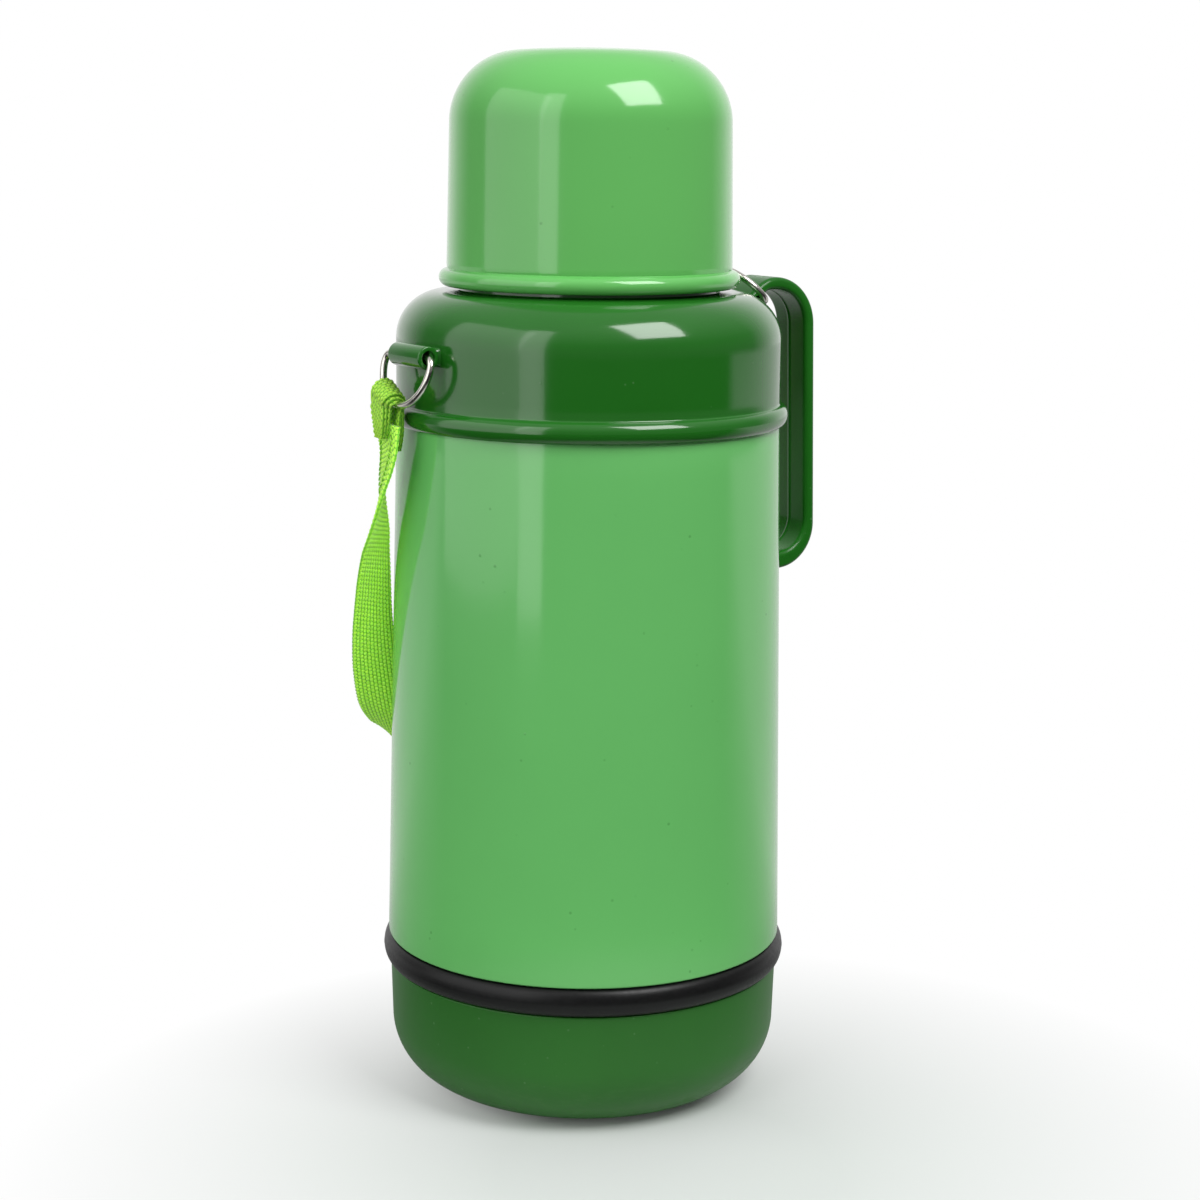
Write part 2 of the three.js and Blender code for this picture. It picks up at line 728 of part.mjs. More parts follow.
// The flask's outside, grown by the clearance, as one solid to cut the handle with
function wallCutter() {
  const outside = shoulderOutside().map(([r, z]) => [r + gap, z + gap]);
  return lathe([
    [0, shellZ],
    [shellRadius + gap, shellZ],
    [shellRadiusTop + gap, beadZ],
    ...outside,
    [0, shoulderTopZ + gap],
  ]);
}

function handle() {
  const settings = { depth: handleWidth, bevelEnabled: false, curveSegments: cornerSteps };
  const blank = new THREE.ExtrudeGeometry(handleOutline(), settings);
  blank.rotateX(Math.PI / 2).translate(0, handleWidth / 2, 0);
  const holeFrom = new THREE.Vector3(rootHoleX, -handleWidth, rootHoleZ);
  const holeTo = new THREE.Vector3(rootHoleX, handleWidth, rootHoleZ);
  const hole = bar(holeFrom, holeTo, rootHoleRadius, holeFacets);
  const screws = [
    screwHole(upperScrewZ, shoulderRadius),
    screwHole(lowerScrewZ, shellRadiusAt(lowerScrewZ)),
  ];
  return combine(blank, [], [wallCutter(), hole, ...screws]);
}

function handleScrew(z, wallRadius, wall) {
  const shank = wallRadius + gap + screwDepth;
  const seat = wallRadius * Math.cos(Math.PI / seg) - wall - gap;
  const profile = [
    [0, seat - screwHeadHeight],
    [screwHeadRadius, seat - screwHeadHeight],
    [screwHeadRadius, seat],
    [screwRadius, seat],
    [screwRadius, shank],
    [0, shank],
  ];
  return lathe(profile, screwFacets).rotateY(Math.PI / 2).translate(0, 0, z);
}

// D-ring: wire bent to a D, its ends meeting in the straight side.
// outward points from the straight side to the curved one.
function dRing(x, y, z, outward) {
  const points = [];
  const across = (side, along, depth) => {
    const at = outward.clone().multiplyScalar(depth).add(new THREE.Vector3(x, y, z));
    at.y += side * along;
    points.push(at);
  };
  const flatHalf = ringHalfWidth - ringEndRadius;
  const curveDepth = ringDepth - ringEndRadius;
  across(1, ringEndGap / 2, 0);
  across(1, flatHalf / 2, 0);
  across(1, flatHalf, 0);
  across(1, flatHalf + ringEndRadius * Math.SQRT1_2, ringEndRadius * (1 - Math.SQRT1_2));
  for (let i = 0; i <= ringBendSteps; i += 1) {
    const angle = (Math.PI * i) / ringBendSteps;
    across(1, ringHalfWidth * Math.cos(angle), ringEndRadius + curveDepth * Math.sin(angle));
  }
  across(-1, flatHalf + ringEndRadius * Math.SQRT1_2, ringEndRadius * (1 - Math.SQRT1_2));
  across(-1, flatHalf, 0);
  across(-1, flatHalf / 2, 0);
  across(-1, ringEndGap / 2, 0);
  const planeNormal = new THREE.Vector3().crossVectors(new THREE.Vector3(0, 1, 0), outward);
  const path = new TurnedPath(points, () => planeNormal);
  const section = new THREE.Shape();
  section.absarc(0, 0, wire / 2, 0, 2 * Math.PI);
  const settings = { steps: wireSteps, curveSegments: wireSides / 2, extrudePath: path };
  return new THREE.ExtrudeGeometry(section, settings);
}

function leftRing() {
  const tilt = THREE.MathUtils.degToRad(leftRingTilt);
  const outward = new THREE.Vector3(-Math.sin(tilt), 0, -Math.cos(tilt));
  return dRing(lugX, leftRingShift, lugZ, outward);
}

function rightRing() {
  const lean = THREE.MathUtils.degToRad(rightRingLean);
  return dRing(rootHoleX, 0, rootHoleZ, new THREE.Vector3(Math.cos(lean), 0, Math.sin(lean)));
}

// The strap hangs from one ring, passes behind the flask and rises to the other. Each
// point of its route has an angle round the flask, a distance from the axis and a height,
// then the compass heading and the slope of the strap's width there.
// The two lengths meet end to end behind the flask.
const leftRoute = [
  [173.6, 67.2, 214, 88, -20],
  [173, 67, 206, 74, -10],
  [169.5, 67.2, 195, 54, 0],
  [165, 67.2, 182, 34, 0],
  [159.5, 67.1, 171, 22, 0],
  [153.5, 67, 159, 13, 0],
  [147, 67.4, 146, 2, 0],
  [139.5, 68.1, 132, -10, 0],
  [130.5, 69, 118.5, -24, -4],
  [119, 69.8, 107, -42, -20],
  [106.5, 69.2, 98, -66, -56],
  [95, 67.2, 95, -87, -90],
];
const rightRoute = [
  [92.2, 67.2, 95, 3, -90],
  [80, 65.8, 97, -10, -84],
  [68, 65.1, 104, -22, -66],
  [58, 64.7, 117, -32, -45],
  [50, 64.4, 134, -40, -34],
  [43, 64, 153, -47, -28],
  [37, 63.8, 173, -53, -24],
  [31, 63.6, 193, -59, -20],
  [26, 63.8, 212, -64, -16],
  [22.5, 63.2, 228, -67, -14],
  [19.5, 59.8, 243.5, -70, -10],
];

function strap(route) {
  const points = route.map(([angle, radius, height]) => {
    const turn = THREE.MathUtils.degToRad(angle);
    return new THREE.Vector3(radius * Math.cos(turn), radius * Math.sin(turn), height);
  });
  const sideAt = (t) => {
    const place = t * (route.length - 1);
    const first = Math.min(Math.floor(place), route.length - 2);
    const blend = place - first;
    const [heading, lift] = [3, 4].map((k) => THREE.MathUtils.degToRad(
      THREE.MathUtils.lerp(route[first][k], route[first + 1][k], blend),
    ));
    const flat = Math.cos(lift);
    return new THREE.Vector3(flat * Math.cos(heading), flat * Math.sin(heading), Math.sin(lift));
  };
  const path = new TurnedPath(points, sideAt);
  const section = new THREE.Shape();
  section.moveTo(-strapWidth / 2, -strapThickness / 2);
  section.lineTo(strapWidth / 2, -strapThickness / 2);
  section.lineTo(strapWidth / 2, strapThickness / 2);
  section.lineTo(-strapWidth / 2, strapThickness / 2);
  section.closePath();
  return new THREE.ExtrudeGeometry(section, { steps: strapSteps, extrudePath: path });
}

const finish = (color, roughness, metalness = 0) =>
  new THREE.MeshStandardMaterial({ color, roughness, metalness });

const flask = new THREE.Group();

function place(name, geometry, material) {
  const mesh = new THREE.Mesh(geometry, material);
  mesh.name = name;
  flask.add(mesh);
}

place('base_cup', baseCup(), finish(darkGreen, 0.35));
place('base_ring', baseRing(), finish(rubberBlack, 0.45));
place('refill_support', refillSupport(), finish(cream, 0.5));
place('refill_cushion', refillCushion(), finish(rubberBlack, 0.8));
place('body_shell', bodyShell(), finish(lightGreen, 0.2));
place('glass_outer', glassOuter(), finish(silvered, 0.05, 1));
place('glass_inner', glassInner(), finish(silvered, 0.05, 1));
for (let i = 0; i < padCount; i += 1) {
  place(`spacer_pad_${i + 1}`, spacerPad(i), finish(feltGrey, 0.9));
}
place('shock_ring', shockRing(), finish(foamWhite, 0.9));
place('mouth_seal', mouthSeal(), finish(cream, 0.6));
place('shoulder', shoulder(), finish(darkGreen, 0.2));
place('cup', cup(), finish(lightGreen, 0.15));
place('stopper_body', stopperBody(), finish(cream, 0.4));
place('stopper_seal', stopperSeal(), finish(feltGrey, 0.7));
place('stopper_lid', stopperLid(), finish(cream, 0.35));
place('stopper_foam', stopperFoam(), finish(foamWhite, 0.95));
place('handle', handle(), finish(darkGreen, 0.25));
const screwAtTop = handleScrew(upperScrewZ, shoulderRadius, shoulderWall);
const screwBelow = handleScrew(lowerScrewZ, shellRadiusAt(lowerScrewZ), shellWall);
place('handle_screw_1', screwAtTop, finish(steel, 0.3, 1));
place('handle_screw_2', screwBelow, finish(steel, 0.3, 1));
place('ring_left', leftRing(), finish(nickel, 0.2, 1));
place('ring_right', rightRing(), finish(nickel, 0.2, 1));
place('strap_left', strap(leftRoute), finish(limeGreen, 0.8));
place('strap_right', strap(rightRoute), finish(limeGreen, 0.8));

export default flask;
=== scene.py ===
import math
import bmesh
import bpy
import numpy as np
from mathutils import Euler, Matrix, Vector


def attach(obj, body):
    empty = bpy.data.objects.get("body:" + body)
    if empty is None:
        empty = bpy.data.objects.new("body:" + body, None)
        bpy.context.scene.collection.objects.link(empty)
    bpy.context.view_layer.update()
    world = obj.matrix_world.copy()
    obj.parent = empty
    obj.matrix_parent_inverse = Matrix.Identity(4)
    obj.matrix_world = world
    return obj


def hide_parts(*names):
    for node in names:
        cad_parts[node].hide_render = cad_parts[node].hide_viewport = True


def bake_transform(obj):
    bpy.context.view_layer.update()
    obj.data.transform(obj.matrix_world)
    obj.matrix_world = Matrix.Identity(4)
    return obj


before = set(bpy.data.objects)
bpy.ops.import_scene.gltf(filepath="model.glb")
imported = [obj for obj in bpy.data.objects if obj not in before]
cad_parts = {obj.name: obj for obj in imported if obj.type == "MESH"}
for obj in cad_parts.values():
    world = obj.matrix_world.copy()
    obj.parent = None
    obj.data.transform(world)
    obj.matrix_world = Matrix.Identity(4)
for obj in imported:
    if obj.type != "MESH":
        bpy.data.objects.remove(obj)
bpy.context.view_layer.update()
print("frame loaded:", len(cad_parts), "nodes")

mm = 0.001
scene = bpy.context.scene
scene.view_settings.view_transform = "Standard"

# Camera: angles in degrees, distances in metres, lens and film in millimetres
shot = {"azimuth": -34, "distance": 0.7624, "aside": 0.00429, "height": 0.3019,
        "tilt": 10.915, "roll": 0.612, "lens": 73.88, "film": 36}

azimuth = math.radians(shot["azimuth"])
ahead = Vector((-math.sin(azimuth), math.cos(azimuth), 0))
aside = Vector((ahead.y, -ahead.x, 0))
cameraData = bpy.data.cameras.new("camera")
cameraData.lens = shot["lens"]
cameraData.sensor_width = shot["film"]
camera = bpy.data.objects.new("camera", cameraData)
spot = aside * shot["aside"] - ahead * shot["distance"] + Vector((0, 0, shot["height"]))
turn = Euler((math.radians(90 - shot["tilt"]), 0, azimuth)).to_matrix().to_4x4()
roll = Matrix.Rotation(math.radians(shot["roll"]), 4, "Z")
camera.matrix_world = Matrix.Translation(spot) @ turn @ roll
scene.collection.objects.link(camera)
scene.camera = camera
print("camera placed")


def newMaterial(name):
    material = bpy.data.materials.new(name)
    material.use_nodes = True
    tree = material.node_tree
    return material, tree, tree.nodes["Principled BSDF"]


def feed(tree, socket, value):
    if isinstance(value, bpy.types.NodeSocket):
        tree.links.new(value, socket)
    else:
        socket.default_value = value


def feedAll(tree, node, **inputs):
    for key, value in inputs.items():
        feed(tree, node.inputs[key.replace("_", " ")], value)
    return node


def addNode(tree, kind, settings=None, **inputs):
    node = tree.nodes.new(kind)
    for key, value in (settings or {}).items():
        setattr(node, key, value)
    return feedAll(tree, node, **inputs)


def objectPoints(tree, stretch=(1, 1, 1)):
    coordinates = addNode(tree, "ShaderNodeTexCoord")
    return addNode(tree, "ShaderNodeMapping", Vector=coordinates.outputs["Object"],
                   Scale=stretch).outputs["Vector"]


def noise(tree, points, scale, detail, roughness=0.5):
    return addNode(tree, "ShaderNodeTexNoise", Vector=points, Scale=scale, Detail=detail,
                   Roughness=roughness).outputs["Fac"]


def remap(tree, value, low, high, toLow=0.0, toHigh=1.0):
    return addNode(tree, "ShaderNodeMapRange", Value=value, From_Min=low, From_Max=high,
                   To_Min=toLow, To_Max=toHigh).outputs["Result"]


def mathNode(tree, operation, first, second):
    node = addNode(tree, "ShaderNodeMath", {"operation": operation})
    feed(tree, node.inputs[0], first)
    feed(tree, node.inputs[1], second)
    return node.outputs[0]


def times(tree, first, second):
    return mathNode(tree, "MULTIPLY", first, second)


def mixColour(tree, amount, first, second):
    node = addNode(tree, "ShaderNodeMix", {"data_type": "RGBA"})
    for index, value in ((0, amount), (6, first), (7, second)):  # factor, then the two colours
        feed(tree, node.inputs[index], value)
    return node.outputs[2]


def bump(tree, shader, height, distance, strength=1.0, under=None):
    node = addNode(tree, "ShaderNodeBump", Height=height, Distance=distance, Strength=strength)
    if under is not None:
        feed(tree, node.inputs["Normal"], under)
    feed(tree, shader.inputs["Normal"], node.outputs["Normal"])
    return node.outputs["Normal"]


# A colour a little darker where the value is low and a little lighter where it is high
def drifted(tree, value, limits, colour, vary):
    darker, lighter = (tuple(min(1.0, c * factor) for c in colour) + (1.0,)
                       for factor in (1 - vary, 1 + vary))
    return mixColour(tree, remap(tree, value, *limits), darker, lighter)


# The noise values between which each effect on the plastic comes in, and its fixed depths
plasticGrain = {"drift": (0.35, 0.65), "specked": (0.56, 0.62), "speckEdge": (0.05, 0.11),
                "smear": (0.3, 0.75), "smearStretch": (1, 1, 0.35), "scuff": (0.5, 0.66),
                "scuffStretch": (1, 1, 3), "scuffScale": 210.0, "scuffTint": 0.35,
                "scuffRough": 0.3, "coatRough": 0.06, "speckDepth": 0.00006, "speckBump": 0.5}


# Moulded polypropylene: soft colour drift, dust specks, smears in the gloss, a fine
# orange-peel skin and, where scuffLow..scuffHigh is given, rubbing marks near the foot
def mouldedPlastic(name, look):
    grain = plasticGrain
    material, tree, shader = newMaterial(name)
    points = objectPoints(tree)
    drift = noise(tree, points, look["driftScale"], 3.0)
    colour = drifted(tree, drift, grain["drift"], look["colour"], look["drift"])
    cells = addNode(tree, "ShaderNodeTexVoronoi", Vector=points, Scale=look["speckScale"])
    chosen = remap(tree, noise(tree, points, look["speckScale"] / 3, 2.0), *grain["specked"])
    dots = times(tree, remap(tree, cells.outputs["Distance"], *grain["speckEdge"], 1.0, 0.0), chosen)
    colour = mixColour(tree, times(tree, dots, look["speck"]), colour, look["speckColour"])
    smear = noise(tree, objectPoints(tree, grain["smearStretch"]), look["smearScale"], 5.0, 0.6)
    rough = remap(tree, smear, *grain["smear"], look["gloss"], look["gloss"] + look["smear"])
    if look.get("scuffHigh"):
        height = addNode(tree, "ShaderNodeSeparateXYZ", Vector=points).outputs["Z"]
        low = remap(tree, height, look["scuffLow"], look["scuffHigh"], 1.0, 0.0)
        marks = noise(tree, objectPoints(tree, grain["scuffStretch"]), grain["scuffScale"], 6.0, 0.7)
        rubbed = times(tree, low, remap(tree, marks, *grain["scuff"]))
        tint = times(tree, rubbed, grain["scuffTint"])
        colour = mixColour(tree, tint, colour, look["scuffColour"])
        rough = mathNode(tree, "ADD", rough, times(tree, rubbed, grain["scuffRough"]))
    feedAll(tree, shader, Base_Color=colour, Roughness=rough, Specular_IOR_Level=look["specular"],
            Coat_Weight=look["coat"], Coat_Roughness=grain["coatRough"])
    skin = bump(tree, shader, noise(tree, points, look["peelScale"], 2.0), look["peel"])
    bump(tree, shader, dots, grain["speckDepth"], grain["speckBump"], skin)
    return material


lightLook = {"colour": (0.135, 0.5, 0.118), "drift": 0.022, "driftScale": 14.0,
             "speckScale": 190.0, "speck": 0.35, "speckColour": (0.03, 0.16, 0.03, 1),
             "gloss": 0.1, "smear": 0.07, "smearScale": 26.0, "peelScale": 260.0,
             "peel": 0.000012, "specular": 0.5, "coat": 0.25}
darkLook = {**lightLook, "colour": (0.0135, 0.142, 0.0105), "drift": 0.05, "driftScale": 16.0,
            "speckScale": 230.0, "speck": 0.5, "speckColour": (0.12, 0.28, 0.11, 1),
            "smear": 0.08, "smearScale": 30.0}
baseLook = {**darkLook, "colour": (0.02, 0.142, 0.014), "gloss": 0.32, "smear": 0.1,
            "coat": 0.0, "specular": 0.34, "peel": 0.00002, "scuffLow": 0.002,
            "scuffHigh": 0.02, "scuffColour": (0.1, 0.24, 0.08, 1)}
# The shell's green is lighter and bluer than the cup's: partly its own tint, partly painted light that
# makes up for the lamps' light falling off lower down the flask
shellTintAndPaintedLightLook = {**lightLook, "colour": (0.16, 0.57, 0.155)}
handleLook = {**darkLook, "gloss": 0.2, "coat": 0.0, "specular": 0.3}
creamLook = {"colour": (0.78, 0.72, 0.56), "drift": 0.03, "driftScale": 40.0,
             "speckScale": 300.0, "speck": 0.35, "speckColour": (0.3, 0.25, 0.16, 1),
             "gloss": 0.3, "smear": 0.15, "smearScale": 60.0, "peelScale": 500.0,
             "peel": 0.00002, "specular": 0.45, "coat": 0.0}
lightGreen = mouldedPlastic("lightGreenPlastic", lightLook)
darkGreen = mouldedPlastic("darkGreenPlastic", darkLook)
baseGreen = mouldedPlastic("baseGreenPlastic", baseLook)
handleGreen = mouldedPlastic("handleGreenPlastic", handleLook)
shellGreenTintAndPaintedLight = mouldedPlastic("shellGreenPlasticTintAndPaintedLight", shellTintAndPaintedLightLook)
creamPlastic = mouldedPlastic("creamPlastic", creamLook)

grainLimits = (0.3, 0.7)  # noise values that a plain surface's grain runs between


def plainSurface(name, look):
    material, tree, shader = newMaterial(name)
    points = objectPoints(tree, look.get("stretch", (1, 1, 1)))
    grain = noise(tree, points, look["grainScale"], 6.0, 0.65)
    feedAll(tree, shader, Metallic=look.get("metal", 0.0), Sheen_Weight=look.get("sheen", 0.0),
            Base_Color=drifted(tree, grain, grainLimits, look["colour"], look["vary"]),
            Roughness=remap(tree, grain, *grainLimits, *look["rough"]),
            Specular_IOR_Level=look.get("specular", 0.5))
    bump(tree, shader, grain, look["depth"])
    return material


surfaces = {
    "blackRubber": {"colour": (0.0045, 0.0045, 0.0047), "vary": 0.25, "grainScale": 900.0,
                    "rough": (0.3, 0.46), "depth": 0.00003, "specular": 0.28},
    "nickelWire": {"colour": (0.72, 0.69, 0.64), "vary": 0.05, "grainScale": 420.0, "metal": 1.0,
                   "rough": (0.1, 0.26), "depth": 0.00001, "stretch": (1, 0.25, 1)},
    "steel": {"colour": (0.55, 0.56, 0.58), "vary": 0.06, "grainScale": 700.0, "metal": 1.0,
              "rough": (0.22, 0.4), "depth": 0.00001},
    "silveredGlass": {"colour": (0.86, 0.87, 0.88), "vary": 0.02, "grainScale": 30.0,
                      "metal": 1.0, "rough": (0.03, 0.09), "depth": 0.00004},
    "felt": {"colour": (0.25, 0.25, 0.24), "vary": 0.3, "grainScale": 1500.0, "sheen": 0.4,
             "rough": (0.85, 1.0), "depth": 0.0002},
    "foam": {"colour": (0.85, 0.84, 0.8), "vary": 0.08, "grainScale": 1200.0,
             "rough": (0.85, 1.0), "depth": 0.0003},
    "silicone": {"colour": (0.8, 0.77, 0.68), "vary": 0.03, "grainScale": 200.0,
                 "rough": (0.4, 0.55), "depth": 0.00001},
    "stitchThread": {"colour": (0.3, 0.68, 0.06), "vary": 0.15, "grainScale": 3000.0,
                     "rough": (0.5, 0.7), "depth": 0.00005}}
rubber, nickel, steel, silvered, felt, foam, silicone, stitchThread = (
    plainSurface(name, look) for name, look in surfaces.items())

# gap and the two keys after it paint shade into the low parts of the weave, between the yarns
webbingLook = {"colour": (0.46, 0.97, 0.075), "vary": 0.12, "yarnStretch": (800, 600, 1),
               "gap": 0.9, "gapShadeEdge": (0.05, 0.5), "gapShadeColour": (0.07, 0.34, 0.006, 1),
               "fibreStretch": (9000, 900, 1), "fibreDepth": 0.00008, "fibreBump": 0.8,
               "rough": (0.5, 0.75), "glow": 0.4, "glowReach": 0.0016,
               "glowColour": (1.0, 1.0, 0.25), "sheen": 0.2, "sheenRough": 0.4, "specular": 0.4}


# Webbing: the yarns are in the mesh, with their height in an attribute; the material adds
# filaments, painted shade in the low gaps between the yarns, a per-yarn shade and a soft sheen
def webbingMaterial(name, look):
    material, tree, shader = newMaterial(name)
    height = addNode(tree, "ShaderNodeAttribute", {"attribute_name": "yarnHeight"}).outputs["Fac"]
    uv = addNode(tree, "ShaderNodeUVMap", {"uv_map": "strapUv"}).outputs["UV"]
    yarns, fibres = (addNode(tree, "ShaderNodeMapping", Vector=uv, Scale=look[key]).outputs["Vector"]
                     for key in ("yarnStretch", "fibreStretch"))
    colour = drifted(tree, noise(tree, yarns, 1.0, 2.0), grainLimits, look["colour"], look["vary"])
    # painted shade: the weave is darkened where the yarns dip low, between one another
    gapShade = remap(tree, height, *look["gapShadeEdge"], 1.0, 0.0)
    colour = mixColour(tree, times(tree, gapShade, look["gap"]), colour, look["gapShadeColour"])
    strands = noise(tree, fibres, 1.0, 3.0)
    feedAll(tree, shader, Base_Color=colour, Specular_IOR_Level=look["specular"],
            Roughness=remap(tree, strands, *grainLimits, *look["rough"]),
            Subsurface_Weight=look["glow"], Subsurface_Radius=look["glowColour"],
            Subsurface_Scale=look["glowReach"], Sheen_Weight=look["sheen"],
            Sheen_Roughness=look["sheenRough"])
    bump(tree, shader, strands, look["fibreDepth"], look["fibreBump"])
    return material


webbing = webbingMaterial("limeWebbing", webbingLook)
print("materials made")


def makeObject(name, points, faces, material, smoothAngle=35):
    mesh = bpy.data.meshes.new(name)
    mesh.from_pydata([tuple(p) for p in points], [], faces)
    mesh.materials.append(material)
    mesh.validate()
    mesh.shade_smooth()
    mesh.set_sharp_from_angle(angle=math.radians(smoothAngle))
    made = bpy.data.objects.new(name, mesh)
    scene.collection.objects.link(made)
    return made


def outward(made):
    work = bmesh.new()
    work.from_mesh(made.data)
    bmesh.ops.remove_doubles(work, verts=work.verts, dist=1e-7)
    bmesh.ops.recalc_face_normals(work, faces=work.faces)
    work.to_mesh(made.data)
    work.free()
    return made


def rounded(points, steps=4):
    result = []
    count = len(points)
    for i, point in enumerate(points):
        here = np.array(point[:2], float)
        radius = point[2] if len(point) > 2 else 0
        if radius <= 0:
            result.append(tuple(here))
            continue
        before = np.array(points[i - 1][:2], float) - here
        after = np.array(points[(i + 1) % count][:2], float) - here
        lengths = np.linalg.norm(before), np.linalg.norm(after)
        cosine = np.clip(np.dot(before, after) / (lengths[0] * lengths[1]), -0.999, 0.999)
        reach = min(radius / math.tan(math.acos(cosine) / 2), 0.48 * lengths[0], 0.48 * lengths[1])
        start, end = here + before / lengths[0] * reach, here + after / lengths[1] * reach
        for k in range(steps + 1):
            t = k / steps
            result.append(tuple((1 - t) ** 2 * start + 2 * t * (1 - t) * here + t ** 2 * end))
    return result


def arcPoints(r, z, radiusR, radiusZ, start, end, steps):
    angles = np.radians(np.linspace(start, end, steps + 1))
    return [(r + radiusR * math.cos(a), z + radiusZ * math.sin(a)) for a in angles]


def turned(name, profile, material, facets=128, smoothAngle=35, closed=True):
    points, faces, rows = [], [], []
    for r, z in profile:
        if r < 1e-6:
            rows.append([len(points)])
            points.append((0, 0, z * mm))
        else:
            rows.append(list(range(len(points), len(points) + facets)))
            for k in range(facets):
                a = 2 * math.pi * k / facets
                points.append((r * mm * math.cos(a), r * mm * math.sin(a), z * mm))
    pairs = list(zip(rows, rows[1:])) + ([(rows[-1], rows[0])] if closed else [])
    for low, high in pairs:
        for k in range(facets):
            n = (k + 1) % facets
            if len(low) == 1 and len(high) == 1:
                continue
            if len(low) == 1:
                faces.append((low[0], high[n], high[k]))
            elif len(high) == 1:
                faces.append((low[k], low[n], high[0]))
            else:
                faces.append((low[k], low[n], high[n], high[k]))
    return outward(makeObject(name, points, faces, material, smoothAngle))


def applied(made):
    graph = bpy.context.evaluated_depsgraph_get()
    mesh = bpy.data.meshes.new_from_object(made.evaluated_get(graph))
    made.modifiers.clear()
    made.data = mesh
    return made


def settle(piece, body, slotName, *nodes):
    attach(piece, body)
    if nodes:
        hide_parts(*nodes)
    return piece
def unit(vectors):
    return vectors / np.linalg.norm(vectors, axis=-1, keepdims=True)


def runOf(line):
    return np.r_[0, np.cumsum(np.linalg.norm(np.diff(line, axis=0), axis=1))]


# Directions along a line, out of its face and across it
def lineFrame(line, side):
    along = unit(np.gradient(line, axis=0))
    face = unit(np.cross(along, side))
    return along, face, np.cross(face, along)


# Faces over rows of points, each row closed on itself, with a cap at both ends
def skinFaces(rows, count):
    faces = []
    for i in range(0, (rows - 1) * count, count):
        for k in range(count):
            n = (k + 1) % count
            faces.append((i + k, i + n, i + count + n, i + count + k))
    return faces + [tuple(range(count)), tuple(range((rows - 1) * count, rows * count))]


# Yarns: columns across the width, picks along it; the rest shape a yarn and the edges
strapSize = {"width": 15.0, "thickness": 1.5, "columns": 12, "perColumn": 5, "pick": 1.7,
             "perPick": 6, "relief": 0.36, "scallop": 0.3, "yarnRound": 0.55, "pickRound": 0.9,
             "under": 0.1, "edgeRound": 0.6}
# Angle round the flask, distance from the axis, height, heading and slope of the width;
# the last 10 mm of the left length lap over the right one
leftRoute = [(173.6, 67.2, 214, 88, -20), (173, 67.0, 206, 74, -10), (169.5, 67.2, 195, 54, 0),
             (165, 67.2, 182, 34, 0), (159.5, 67.1, 171, 22, 0), (153.5, 67.0, 159, 13, 0),
             (146.5, 67.4, 145, 2, 0), (138, 68.0, 129, -12, 0), (128.5, 68.9, 112, -28, -6),
             (118, 69.7, 99.5, -46, -24), (106.5, 69.4, 94, -68, -60), (96, 68.5, 93.6, -85, -88),
             (90, 68.9, 94.8, -89, -90), (84.5, 68.5, 95.6, -95, -90)]
rightRoute = [(92.2, 67.2, 95, 3, -90), (80, 65.8, 97, -10, -84), (68, 65.1, 104, -22, -66),
              (58, 64.7, 117, -32, -45), (50, 64.4, 134, -40, -34), (43, 64.0, 153, -47, -28),
              (37, 63.8, 173, -53, -24), (31, 63.6, 193, -59, -20), (26, 63.8, 212, -64, -16),
              (22.5, 63.2, 228, -67, -14), (19.5, 59.8, 243.5, -70, -10)]

def smoothLine(points, count):
    points = np.array(points, float)
    ends = [2 * points[0] - points[1], *points, 2 * points[-1] - points[-2]]
    fine = []
    for i in range(len(points) - 1):
        a, b, c, d = ends[i:i + 4]
        steps = [max(np.linalg.norm(q - p), 1e-6) ** 0.5 for p, q in ((a, b), (b, c), (c, d))]
        slopeB = ((b - a) / steps[0] - (c - a) / (steps[0] + steps[1]) + (c - b) / steps[1]) * steps[1]
        slopeC = ((c - b) / steps[1] - (d - b) / (steps[1] + steps[2]) + (d - c) / steps[2]) * steps[1]
        for t in np.linspace(0, 1, 60, endpoint=False):
            fine.append(b + slopeB * t + (-3 * b + 3 * c - 2 * slopeB - slopeC) * t ** 2
                        + (2 * b - 2 * c + slopeB + slopeC) * t ** 3)
    fine.append(points[-1])
    fine = np.array(fine)
    lengths = runOf(fine)
    even = np.linspace(0, lengths[-1], count)
    return np.column_stack([np.interp(even, lengths, fine[:, k]) for k in range(3)]), lengths[-1]


def strapFrames(route):
    turns = np.radians([p[0] for p in route])
    points = [(p[1] * math.cos(a), p[1] * math.sin(a), p[2]) for p, a in zip(route, turns)]
    length = smoothLine(points, 2)[1]
    count = int(length / strapSize["pick"] * strapSize["perPick"]) + 1
    line = smoothLine(points, count)[0]
    place = np.linspace(0, len(route) - 1, count)
    heading, lift = (np.radians(np.interp(place, range(len(route)), [p[k] for p in route]))
                     for k in (3, 4))
    side = np.column_stack([np.cos(lift) * np.cos(heading), np.cos(lift) * np.sin(heading),
                            np.sin(lift)])
    return line, side, length


